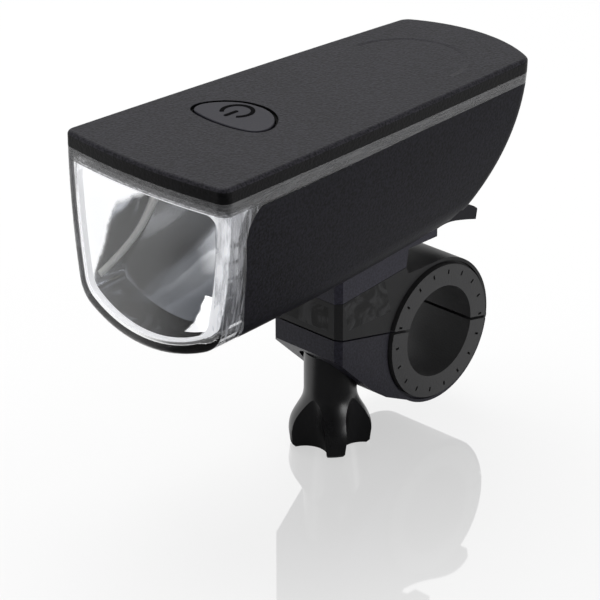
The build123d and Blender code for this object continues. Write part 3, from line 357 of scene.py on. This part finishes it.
def swirled_plastic():
    """The clamp's grain with swirled tool marks on the sides and on the front."""
    finish = Finish("swirl_grain")
    spot = finish.place()
    fine = finish.noise(spot, JAW_GRAIN, 1.0)
    cloud = finish.noise(spot, JAW_CLOUD, 3.0)
    swirl = finish.noise(spot, SWIRL_SIZE, 4.0, SWIRL_TWIST)
    x, y, z = finish.axes(spot)
    side = (x.size() > JAW_HALF - JAW_SKIN) * finish.within(z, *SIDE_HEIGHTS)
    side = side * finish.within(y + z * SIDE_LEAN, *SIDE_LENGTHS)
    front = (y < JAW_FRONT + JAW_SKIN) * finish.within(z, *FRONT_HEIGHTS)
    patch = side.largest(front * finish.within(x, *FRONT_WIDTHS))
    streak = finish.ramp(swirl, SWIRL_STEPS)
    grey = finish.tint(cloud * 0.6 + fine * 0.4, (0.009, 0.009, 0.0096), (0.017, 0.017, 0.018))
    worn = finish.tint(streak, (0.003, 0.003, 0.003), (0.026, 0.026, 0.028))
    return finish.surface(
        Base_Color=finish.tint(patch * SWIRL_SHARE, grey, worn),
        Roughness=0.42 + patch * (0.5 - streak) * 0.25,
        Specular_IOR_Level=0.14,
        Normal=finish.bump(fine * 0.3 + swirl * patch * 3, JAW_RELIEF, 0.6),
    )


dress(swirled_plastic(), "upper_jaw")

# %% [markdown]
# The lining of the bore is soft rubber, duller than the plastic, with talc left in its pores.
# The knob is the opposite: it is moulded smooth and shines, with only faint flow marks.

# %% Rubber and glossy plastic
PORE_SIZE = 0.5 * MM
PORE_DEPTH = 0.06 * MM
BLOOM_SIZE = 4 * MM
FLOW_SIZE = 2.5 * MM
FLOW_STRETCH = (1, 1, 0.2)
FLOW_DEPTH = 0.03 * MM


def soft_rubber(name):
    """Dull rubber with fine pores and a paler bloom in places."""
    finish = Finish(name)
    spot = finish.place()
    pores = finish.cells(spot, PORE_SIZE)
    bloom = finish.noise(spot, BLOOM_SIZE, 4.0)
    return finish.surface(
        Base_Color=finish.tint(bloom, (0.016, 0.016, 0.017), (0.03, 0.03, 0.031)),
        Roughness=bloom * 0.12 + 0.6,
        Normal=finish.bump(pores, PORE_DEPTH, 0.5),
    )


def glossy_plastic(name):
    """Smooth black plastic with faint flow marks along its length."""
    finish = Finish(name)
    flow = finish.noise(finish.place(scale=FLOW_STRETCH), FLOW_SIZE, 2.0)
    return finish.surface(
        Base_Color=finish.tint(flow, (0.004, 0.004, 0.0045), (0.008, 0.008, 0.009)),
        Roughness=flow * 0.1 + 0.24,
        Normal=finish.bump(flow, FLOW_DEPTH, 0.35),
    )


dress(soft_rubber("pad_rubber"), "upper_pad", "lower_pad", "button_seal", "case_seal")
dress(glossy_plastic("knob_gloss"), "thumb_knob")

# %% [markdown]
# The frame round the opening is pale and satin. Three lamps leave it greyer than it is in the
# photograph, so it glows a little by itself.

# %% Pale rim
RIM_HAZE = 4 * MM
RIM_RELIEF = 0.03 * MM
RIM_PAINTED_GLOW = 0.5


def rim_with_painted_glow():
    """Pale satin finish on the frame round the opening, with a painted glow that brightens it.
    """
    finish = Finish("rim_plating_painted_glow")
    haze = finish.noise(finish.place(), RIM_HAZE, 2.0)
    colour = finish.tint(haze, (0.9, 0.9, 0.92), (0.98, 0.98, 0.99))
    return finish.surface(
        Base_Color=colour,
        Roughness=haze * 0.08 + 0.22,
        # painted glow: the rim gives off light in its own colour
        Emission_Color=colour,
        Emission_Strength=RIM_PAINTED_GLOW,
        Normal=finish.bump(haze, RIM_RELIEF, 0.2),
    )


dress(rim_with_painted_glow(), "reflector_rim")

# %% [markdown]
# The bowl is plastic with a vacuum-plated mirror on it, so it is metal to the eye. Slow waves
# of the moulding ripple the mirror a little and also move the edge of a painted dark foot, and
# these make the soft bands. It also mirrors a room that is not known: white all along the front
# of the left wall and in a small corner low on the right, and nearly black at the foot. These
# three are painted reflections, and the two white ones also glow. Each is a mask made of plain
# distances on the bowl, and a wave in its edge keeps it from looking cut out.
# An edge is given by one point on it and by its lean.

# %% Bowl
WALL_SIDE = -17.0 * MM
WALL_EDGE_Y = -79.1 * MM
WALL_EDGE_Z = 32.0 * MM
WALL_EDGE_LEAN = 0.6
WALL_EDGE_WIDTH = 2 * MM
WALL_EDGE_STOPS = ((0.0, 0.0), (0.3, 0.15), (0.7, 1.0))
UPPER_EDGE_Z = 46 * MM
UPPER_EDGE_WIDTH = 2.5 * MM
UPPER_EDGE_STOPS = ((0.0, 0.0), (0.5, 1.0))
UPPER_REAR = -62 * MM
CORNER_EDGE_X = 2.8 * MM
CORNER_EDGE_Y = -67.3 * MM
CORNER_EDGE_LEAN = 0.45
CORNER_EDGE_WIDTH = 2 * MM
CORNER_EDGE_STOPS = ((0.0, 0.0), (0.4, 0.0), (0.7, 1.0))
CORNER_TOP = 31 * MM
CORNER_LENGTHS = (-77 * MM, -66 * MM)
EDGE_NOISE = 5 * MM
WALL_WAVE = 4 * MM
SMALL_WAVE = 3 * MM
PAINTED_DARK_TOP = 40.0 * MM
PAINTED_DARK_FOOT = 27.0 * MM
PAINTED_DARK_STOPS = ((0.0, 0.06), (0.4, 0.14), (0.75, 0.6), (1.0, 0.85))
PAINTED_DARK_WAVE = 0.6
SLOW_WAVE_SIZE = 9 * MM
SLOW_WAVE_STRETCH = (1, 1, 0.4)
SLOW_WAVE_HEIGHT = 0.5 * MM
BOWL_PAINTED_GLOW = 0.85


def bowl_plating_painted_reflections():
    """Mirror with painted reflections: painted dark towards its foot, and painted white,
    glowing, in two places.
    """
    finish = Finish("bowl_plating_painted_reflections")
    spot = finish.place()
    x, y, z = finish.axes(spot)
    wave = finish.noise(spot, EDGE_NOISE, 4.0) - 0.5
    slow = finish.noise(finish.place(scale=SLOW_WAVE_STRETCH), SLOW_WAVE_SIZE, 1.0)
    # painted reflections: white along the front of the left wall and in a low corner on the
    # right
    edge = (z - WALL_EDGE_Z) * WALL_EDGE_LEAN + WALL_EDGE_Y + wave * WALL_WAVE
    wall = finish.soft_edge(edge - y, WALL_EDGE_WIDTH, WALL_EDGE_STOPS)
    rise = z + wave * SMALL_WAVE - UPPER_EDGE_Z
    upper = finish.soft_edge(rise, UPPER_EDGE_WIDTH, UPPER_EDGE_STOPS) * (y < UPPER_REAR)
    glow = (x < WALL_SIDE) * wall.largest(upper)
    inward = x - CORNER_EDGE_X - (CORNER_EDGE_Y - y) * CORNER_EDGE_LEAN + wave * SMALL_WAVE
    corner = finish.soft_edge(inward, CORNER_EDGE_WIDTH, CORNER_EDGE_STOPS)
    corner = corner * (z < CORNER_TOP) * finish.within(y, *CORNER_LENGTHS)
    white = glow.largest(corner)
    # painted reflection: the mirror's colour goes nearly black towards the foot
    height = (z - PAINTED_DARK_FOOT) / (PAINTED_DARK_TOP - PAINTED_DARK_FOOT)
    depth = finish.ramp(height + (slow - 0.5) * PAINTED_DARK_WAVE, PAINTED_DARK_STOPS)
    mirror = finish.tint(depth, (0.02, 0.025, 0.035), (0.93, 0.94, 0.96))
    return finish.surface(
        Base_Color=finish.tint(white, mirror, (0.95, 0.95, 0.95)),
        Metallic=1.0 - white * 0.4,
        Roughness=0.05 + slow * 0.04 + white * 0.3,
        # painted glow on the two white patches
        Emission_Color=finish.tint(white, (0.0, 0.0, 0.0), (1.0, 1.0, 1.0)),
        Emission_Strength=BOWL_PAINTED_GLOW,
        Normal=finish.bump(slow, SLOW_WAVE_HEIGHT, 0.35),
    )


dress(bowl_plating_painted_reflections(), "reflector")

# %% [markdown]
# The front and the strip under the cover are one clear moulding. It is real glass to the
# renderer, with true wall thickness, so its edges bend the light and darken by themselves.
# Under the cover, where it is thick, it is drawn as an opaque mottled grey instead of glass,
# and opaque streaks from near black to pale grey run down its side windows.
# Shadow rays pass straight through, because a lamp cannot aim through bent glass.

# %% Clear plastic
CLEAR_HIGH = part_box("clear_lens")[1]
CLEAR_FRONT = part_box("clear_lens")[0][1]
BAND_FOOT = CLEAR_HIGH[2] - 2.9 * MM
WINDOW_LENGTHS = (CLEAR_FRONT + 3.4 * MM, CLEAR_FRONT + 13 * MM)
WINDOW_SIDE = 19 * MM
MOTTLE_SIZE = 1.6 * MM
MOTTLE_STRETCH = (1, 0.25, 3)
MOTTLE_STOPS = ((0.0, 0.5), (0.42, 0.6), (0.6, 0.8))
STREAK_SIZE = 1.1 * MM
STREAK_STRETCH = (0.3, 1.6, 0.16)
STREAK_STOPS = ((0.0, 0.0), (0.44, 0.1), (0.6, 0.5))
GLASS_HAZE = 6 * MM


def clear_plastic(name):
    """Clear polycarbonate, drawn as opaque mottled grey where it is thick under the cover, and
    with opaque streaks in the windows.
    """
    finish = Finish(name)
    spot = finish.place()
    x, y, z = finish.axes(spot)
    mottle = finish.noise(finish.place(scale=MOTTLE_STRETCH), MOTTLE_SIZE, 3.0)
    high = z > BAND_FOOT
    band = high * finish.ramp(mottle, MOTTLE_STOPS)
    streak = finish.noise(finish.place(scale=STREAK_STRETCH), STREAK_SIZE, 2.0)
    window = finish.within(y, *WINDOW_LENGTHS) * (x.size() > WINDOW_SIDE) * (1 - high)
    window_streaks = window * finish.ramp(streak, STREAK_STOPS)
    haze = finish.noise(spot, GLASS_HAZE, 2.0)
    glass = finish.principled(
        Base_Color=finish.tint(haze, (0.97, 0.98, 0.99), (0.99, 0.99, 1.0)),
        Roughness=haze * 0.02 + 0.01,
        IOR=1.5,
        Transmission_Weight=1.0,
    )
    # opaque mottled grey, used instead of glass in the band under the cover
    opaque_grey = finish.principled(
        Base_Color=finish.tint(mottle, (0.02, 0.02, 0.022), (0.12, 0.12, 0.125)),
        Roughness=mottle * 0.2 + 0.2,
    )
    # opaque streaks, near black to pale grey, in the side windows
    streaked_grey = finish.principled(
        Base_Color=finish.tint(streak, (0.02, 0.02, 0.024), (0.55, 0.56, 0.6)),
        Roughness=0.3 + streak * 0.1,
    )
    tone = {"Color": (0.92, 0.93, 0.94, 1.0)}
    ghost = finish.node("ShaderNodeBsdfTransparent", None, tone).value()
    shadow = finish.node("ShaderNodeLightPath").value("Is Shadow Ray")
    body = finish.blend(window_streaks, finish.blend(band, glass, opaque_grey), streaked_grey)
    return finish.end(finish.blend(shadow, body, ghost))


dress(clear_plastic("clear_plastic"), "clear_lens")

# %% [markdown]
# What is inside the case is seen only when it is opened, but it still gets its own finish:
# plated steel, a lacquered board, a bare metal plate and plain sleeves on the cells.

# %% Metals and inner parts
DRAWN_SIZE = 0.4 * MM
DRAWN_STRETCH = (1, 1, 0.08)
FINE_RELIEF = 0.02 * MM
ROUGH_SPREAD = 0.15


def plated_steel(name, roughness):
    """Zinc-plated steel with fine drawn lines."""
    finish = Finish(name)
    lines = finish.noise(finish.place(scale=DRAWN_STRETCH), DRAWN_SIZE, 2.0)
    return finish.surface(
        Base_Color=finish.tint(lines, (0.5, 0.51, 0.53), (0.62, 0.63, 0.65)),
        Metallic=1.0,
        Roughness=lines * ROUGH_SPREAD + roughness,
        Normal=finish.bump(lines, FINE_RELIEF, 0.3),
    )


def speckled(name, first, second, roughness, size, metal=0.0):
    """A plain finish with a fine speckle between two shades."""
    finish = Finish(name)
    speckle = finish.noise(finish.place(), size, 3.0)
    return finish.surface(
        Base_Color=finish.tint(speckle, first, second),
        Metallic=metal,
        Roughness=speckle * ROUGH_SPREAD + roughness,
        Normal=finish.bump(speckle, FINE_RELIEF, 0.3),
    )


STEEL_NODES = ("board_screws", "case_screws", "swivel_screw", "swivel_washer", "tongue_pin",
               "hinge_pin", "clamp_screw", "seat_washer", "clamp_nut", "contact_springs",
               "contact_plates")
# Name, the two shades, roughness, size of the speckle in mm, share of metal, node.
SPECKLED = (
    ("board_lacquer", (0.01, 0.09, 0.04), (0.015, 0.14, 0.06), 0.3, 1.5, 0.0, "main_board"),
    ("heat_metal", (0.68, 0.69, 0.7), (0.8, 0.8, 0.82), 0.35, 0.8, 1.0, "heat_plate"),
    ("chip_phosphor", (0.8, 0.72, 0.3), (0.92, 0.88, 0.55), 0.4, 0.3, 0.0, "light_chip"),
    ("cell_sleeve", (0.03, 0.09, 0.32), (0.04, 0.12, 0.4), 0.25, 6, 0.0, "battery_cells"),
    ("lead_insulation", (0.4, 0.015, 0.015), (0.5, 0.03, 0.02), 0.4, 1, 0.0, "battery_leads"),
)
dress(plated_steel("plated_steel", 0.25), *STEEL_NODES)
for name, first, second, roughness, size, metal, node_name in SPECKLED:
    dress(speckled(name, first, second, roughness, size * MM, metal), node_name)

# %% [markdown]
# The symbol on the button is a printed ring with a gap and a bar, the usual sign for power.
# It starts as a filled circle that is inset once: the outer band is the ring. The faces in
# the gap are deleted, the bar is a plane stretched in edit mode, and Solidify gives both the
# thickness of a coat of ink. It presses down with the button, so it rides on that body.

# %% Power symbol
SIGN_CENTRE = Vector((-5.2 * MM, -49.0 * MM, COVER_TOP))
SIGN_RADIUS = 3.9 * MM
SIGN_STROKE = 1.0 * MM
SIGN_GAP = math.radians(38)
SIGN_POINTS = 72
BAR_OVERRUN = 0.2
BAR_ROUNDING = 0.45
INK_THICKNESS = 0.05 * MM
INK_GRAIN = 0.3 * MM
INK_RELIEF = 0.01 * MM


def fresh_start():
    """Leaves edit mode and deselects everything, so that operators act on new pieces alone."""
    if bpy.context.object and bpy.context.object.mode != "OBJECT":
        bpy.ops.object.mode_set(mode="OBJECT")
    bpy.ops.object.select_all(action="DESELECT")


def delete_faces(piece, wanted):
    """In edit mode, deletes the faces for which the test holds."""
    bpy.ops.mesh.select_mode(type="FACE")
    bpy.ops.mesh.select_all(action="DESELECT")
    bpy.ops.object.mode_set(mode="OBJECT")
    for face in piece.data.polygons:
        face.select = wanted(face)
    bpy.ops.object.mode_set(mode="EDIT")
    bpy.ops.mesh.delete(type="FACE")


def settle(piece, name, material, body):
    """Names a finished piece, puts its place into its mesh and lets it ride on a body."""
    fresh_start()
    piece.select_set(True)
    bpy.context.view_layer.objects.active = piece
    bpy.ops.object.transform_apply(location=True, rotation=True, scale=True)
    piece.name = name
    piece.data.name = name
    piece.data.materials.clear()
    piece.data.materials.append(material)
    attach(piece, body)
    print(name, len(piece.data.polygons), "faces on", body)


def in_gap(face):
    middle = face.center
    return abs(math.atan2(middle.x, -middle.y)) < SIGN_GAP


fresh_start()
bpy.ops.mesh.primitive_circle_add(
    vertices=SIGN_POINTS, radius=SIGN_RADIUS, fill_type="NGON", location=SIGN_CENTRE)
power_sign = bpy.context.object
bpy.ops.object.mode_set(mode="EDIT")
bpy.ops.mesh.inset(thickness=SIGN_STROKE)
bpy.ops.mesh.delete(type="FACE")
delete_faces(power_sign, in_gap)
bpy.ops.object.mode_set(mode="OBJECT")

fresh_start()
bar_centre = SIGN_CENTRE + Vector((0, -SIGN_RADIUS / 2, 0))
bpy.ops.mesh.primitive_plane_add(size=SIGN_STROKE, location=bar_centre)
bar = bpy.context.object
bpy.ops.object.mode_set(mode="EDIT")
bpy.ops.transform.resize(value=(1.0, SIGN_RADIUS / SIGN_STROKE + BAR_OVERRUN, 1.0))
bpy.ops.mesh.bevel(offset=SIGN_STROKE * BAR_ROUNDING, segments=5, affect="VERTICES")
bpy.ops.object.mode_set(mode="OBJECT")

fresh_start()
bar.select_set(True)
power_sign.select_set(True)
bpy.context.view_layer.objects.active = power_sign
bpy.ops.object.join()
thick = power_sign.modifiers.new("ink", "SOLIDIFY")
thick.thickness = INK_THICKNESS
thick.offset = 1.0
bpy.ops.object.modifier_apply(modifier=thick.name)
sign_ink = grained_plastic("sign_ink", 0.0006, 0.0012, 0.75, INK_GRAIN, INK_RELIEF, 0.02)
settle(power_sign, "power_sign", sign_ink, "button")

# %% [markdown]
# Down the left wall of the bowl run two raised beads, a wide one and a fine one, where two
# halves of the mould meet. A bead is a short path with a round section, turned into a mesh.
# Its points lie on the wall, so half of the bead is sunk in the plating. The beads are pale and
# matte instead of mirrored: a painted highlight along the ridges.

# %% Beads on the wall of the bowl
BEAD_ROUTE = ((-19.2, -60.3, 43.9), (-19.15, -60.8, 42.8), (-18.85, -64.1, 38.7),
              (-18.45, -69.4, 35.0), (-18.2, -75.1, 32.3), (-18.05, -78.0, 31.2))
BEAD_RADIUS = 0.85 * MM
FINE_RADIUS = BEAD_RADIUS / 2
FINE_SHIFT = Vector((-0.1, 1.4, -1.4)) * MM
BEAD_SPECKLE = 3 * MM


def wall_bead(name, radius, shift):
    """A round bead along the wall of the bowl, moved aside by a small shift."""
    fresh_start()
    bpy.ops.curve.primitive_nurbs_path_add()
    curve = bpy.context.object.data
    curve.splines.clear()
    spline = curve.splines.new("NURBS")
    spline.points.add(len(BEAD_ROUTE) - 1)
    for point, place in zip(spline.points, BEAD_ROUTE):
        point.co = (*(Vector(place) * MM + shift), 1.0)
    spline.order_u = 4
    spline.use_endpoint_u = True
    curve.bevel_depth = radius
    curve.bevel_resolution = 3
    curve.use_fill_caps = True
    bpy.ops.object.convert(target="MESH")
    bead = bpy.context.object
    bpy.ops.object.shade_smooth()
    settle(bead, name, bead_painted_highlight, "lamp")


# painted highlight: the beads get a pale matte colour instead of the bowl's mirror
bead_painted_highlight = speckled("bead_painted_highlight", (0.8, 0.8, 0.76), (0.9, 0.9, 0.86), 0.3, BEAD_SPECKLE)
wall_bead("bowl_bead", BEAD_RADIUS, Vector((0, 0, 0)))
wall_bead("fine_bead", FINE_RADIUS, FINE_SHIFT)

# %% [markdown]
# The picture was taken in a white studio with a dark side, the side where the camera stands.
# That dark side is what gives plating and gloss their depth: a mirror that sees white all
# round looks like paper. So the floor and the world are white to the camera, and in mirrors
# and in the clear plastic they are white everywhere but towards that one side.

# %% The dark side of the studio
DARK_SIDE = (0.6, -0.8)
DARK_STOPS = ((0.0, 0.0), (0.72, 0.0), (0.83, 1.0))
TINY = 0.0001


def dark_share(finish, direction):
    """1 towards the dark side of the studio and 0 away from it."""
    x, y, _ = finish.axes(direction)
    flat = (x * x + y * y).root().largest(TINY)
    along = (x * DARK_SIDE[0] + y * DARK_SIDE[1]) / flat
    return finish.ramp(along * 0.5 + 0.5, DARK_STOPS)


def seen_in_mirrors(path):
    """1 for rays that a mirror or clear plastic sends on, and 0 for the camera's own."""
    bounced = path.value("Is Glossy Ray").largest(path.value("Is Transmission Ray"))
    return bounced * (1 - path.value("Is Camera Ray"))


print("dark side towards", DARK_SIDE)

# %% [markdown]
# The floor is white and mirrors a little, most of all close under the lamp.

# %% Floor
FLOOR_HEIGHT = cad_box[0][2] - 0.2 * MM
FLOOR_SIZE = 6.0
FLOOR_CLOUD = 0.4
FLOOR_GLOW_SHARE = 0.8
FLOOR_DARK_SHARE = 0.92
SHEEN_REACH = 0.16
SHEEN_STOPS = ((0.0, 0.3), (0.35, 0.24), (0.8, 0.1), (1.0, 0.02))


def white_ground():
    """Floor that shows white, keeps a soft shadow and mirrors a little."""
    finish = Finish("white_ground")
    spot = finish.place()
    cloud = finish.noise(spot, FLOOR_CLOUD, 2.0)
    pale = {"Color": (0.9, 0.9, 0.9, 1.0)}
    dusk = {"Color": (0.03, 0.03, 0.03, 1.0)}
    light = {"Color": (1.0, 1.0, 1.0, 1.0), "Strength": 1.0}
    gloss = {"Color": (1.0, 1.0, 1.0, 1.0), "Roughness": 0.03}
    diffuse = finish.node("ShaderNodeBsdfDiffuse", None, pale).value()
    black = finish.node("ShaderNodeBsdfDiffuse", None, dusk).value()
    glow = finish.node("ShaderNodeEmission", None, light).value()
    mirror = finish.node("ShaderNodeBsdfGlossy", None, gloss).value()
    path = finish.node("ShaderNodeLightPath")
    camera_ray = path.value("Is Camera Ray")
    mirrored = seen_in_mirrors(path)
    dark = mirrored * dark_share(finish, spot)
    white = finish.blend(camera_ray.largest(mirrored) * FLOOR_GLOW_SHARE, diffuse, glow)
    base = finish.blend(dark * FLOOR_DARK_SHARE, white, black)
    x, y, _ = finish.axes(spot)
    sheen = finish.ramp((x * x + y * y).root() / SHEEN_REACH, SHEEN_STOPS)
    return finish.end(finish.blend(camera_ray * (cloud * 0.04 + sheen), base, mirror))


bpy.ops.object.select_all(action="DESELECT")
bpy.ops.mesh.primitive_plane_add(size=FLOOR_SIZE, location=(0, 0, 0))
floor = bpy.context.object
floor.name = "floor"
floor.data.transform(Matrix.Translation((0, 0, FLOOR_HEIGHT)))
floor.data.materials.append(white_ground())
print("floor at", round(FLOOR_HEIGHT / MM, 1), "mm")

# %% [markdown]
# The world is plain white to the camera. Mirrors see it dimmer high up, which keeps the black
# faces that look up from turning grey, and everything else gets a soft fill from it.

# %% World
FILL = 0.45
WORLD_DARK_SHARE = 0.96
SKY_STOPS = ((0.0, 1.0), (0.72, 1.0), (0.84, 0.25))


def studio_world():
    """White to the camera, white with a dark side to mirrors, and a soft fill for the rest."""
    world = bpy.data.worlds.new("studio")
    bpy.context.scene.world = world
    finish = Finish("studio", world)
    direction = finish.node("ShaderNodeTexCoord").value("Generated")
    path = finish.node("ShaderNodeLightPath")
    camera_ray = path.value("Is Camera Ray")
    mirrored = seen_in_mirrors(path)
    dark = dark_share(finish, direction) * WORLD_DARK_SHARE
    sky = finish.ramp(finish.axes(direction)[2] * 0.5 + 0.5, SKY_STOPS)
    strength = camera_ray + mirrored * (1 - dark) * sky
    strength = strength + (1 - camera_ray) * (1 - mirrored) * FILL
    inputs = {"Color": (1.0, 1.0, 1.0, 1.0), "Strength": strength}
    finish.end(finish.node("ShaderNodeBackground", None, inputs).value())


studio_world()
print("world", bpy.context.scene.world.name, "fill", FILL)

# %% [markdown]
# Three wide soft lamps stand to the left and above, to the left in front, and to the right.
# The first lights the cover, the second the front faces and the third the side of the clamp.

# %% Lamps


def softbox(name, place, aim, size, power):
    """A square area lamp that looks at a point."""
    bpy.ops.object.select_all(action="DESELECT")
    bpy.ops.object.light_add(type="AREA", location=place)
    lamp = bpy.context.object
    lamp.name = name
    lamp.data.size = size
    lamp.data.energy = power
    lamp.rotation_euler = (Vector(aim) - Vector(place)).to_track_quat("-Z", "Y").to_euler()
    print(name, power, "W at", place)


MIDDLE = (0.0, -0.03, 0.03)
softbox("top_box", (-0.25, 0.1, 0.7), MIDDLE, 0.5, 4.0)
softbox("front_box", (-0.25, -0.85, 0.35), MIDDLE, 0.4, 1.3)
softbox("right_box", (0.9, 0.1, 0.2), MIDDLE, 0.4, 2.2)

# %% [markdown]
# The camera was recovered from the lamp's own straight edges in the photograph.

# %% Camera
CAMERA_PLACE = (0.4252, -0.4761, 0.3033)
CAMERA_TURN = (math.radians(64.88), 0, math.radians(43.94))
bpy.ops.object.select_all(action="DESELECT")
bpy.ops.object.camera_add(location=CAMERA_PLACE, rotation=CAMERA_TURN)
camera = bpy.context.object
camera.data.sensor_width = 36.0
camera.data.lens = 180.2
camera.data.clip_start = 0.01
camera.data.clip_end = 20.0
bpy.context.scene.camera = camera
bpy.context.scene.view_settings.view_transform = "Standard"
print("camera at", CAMERA_PLACE)
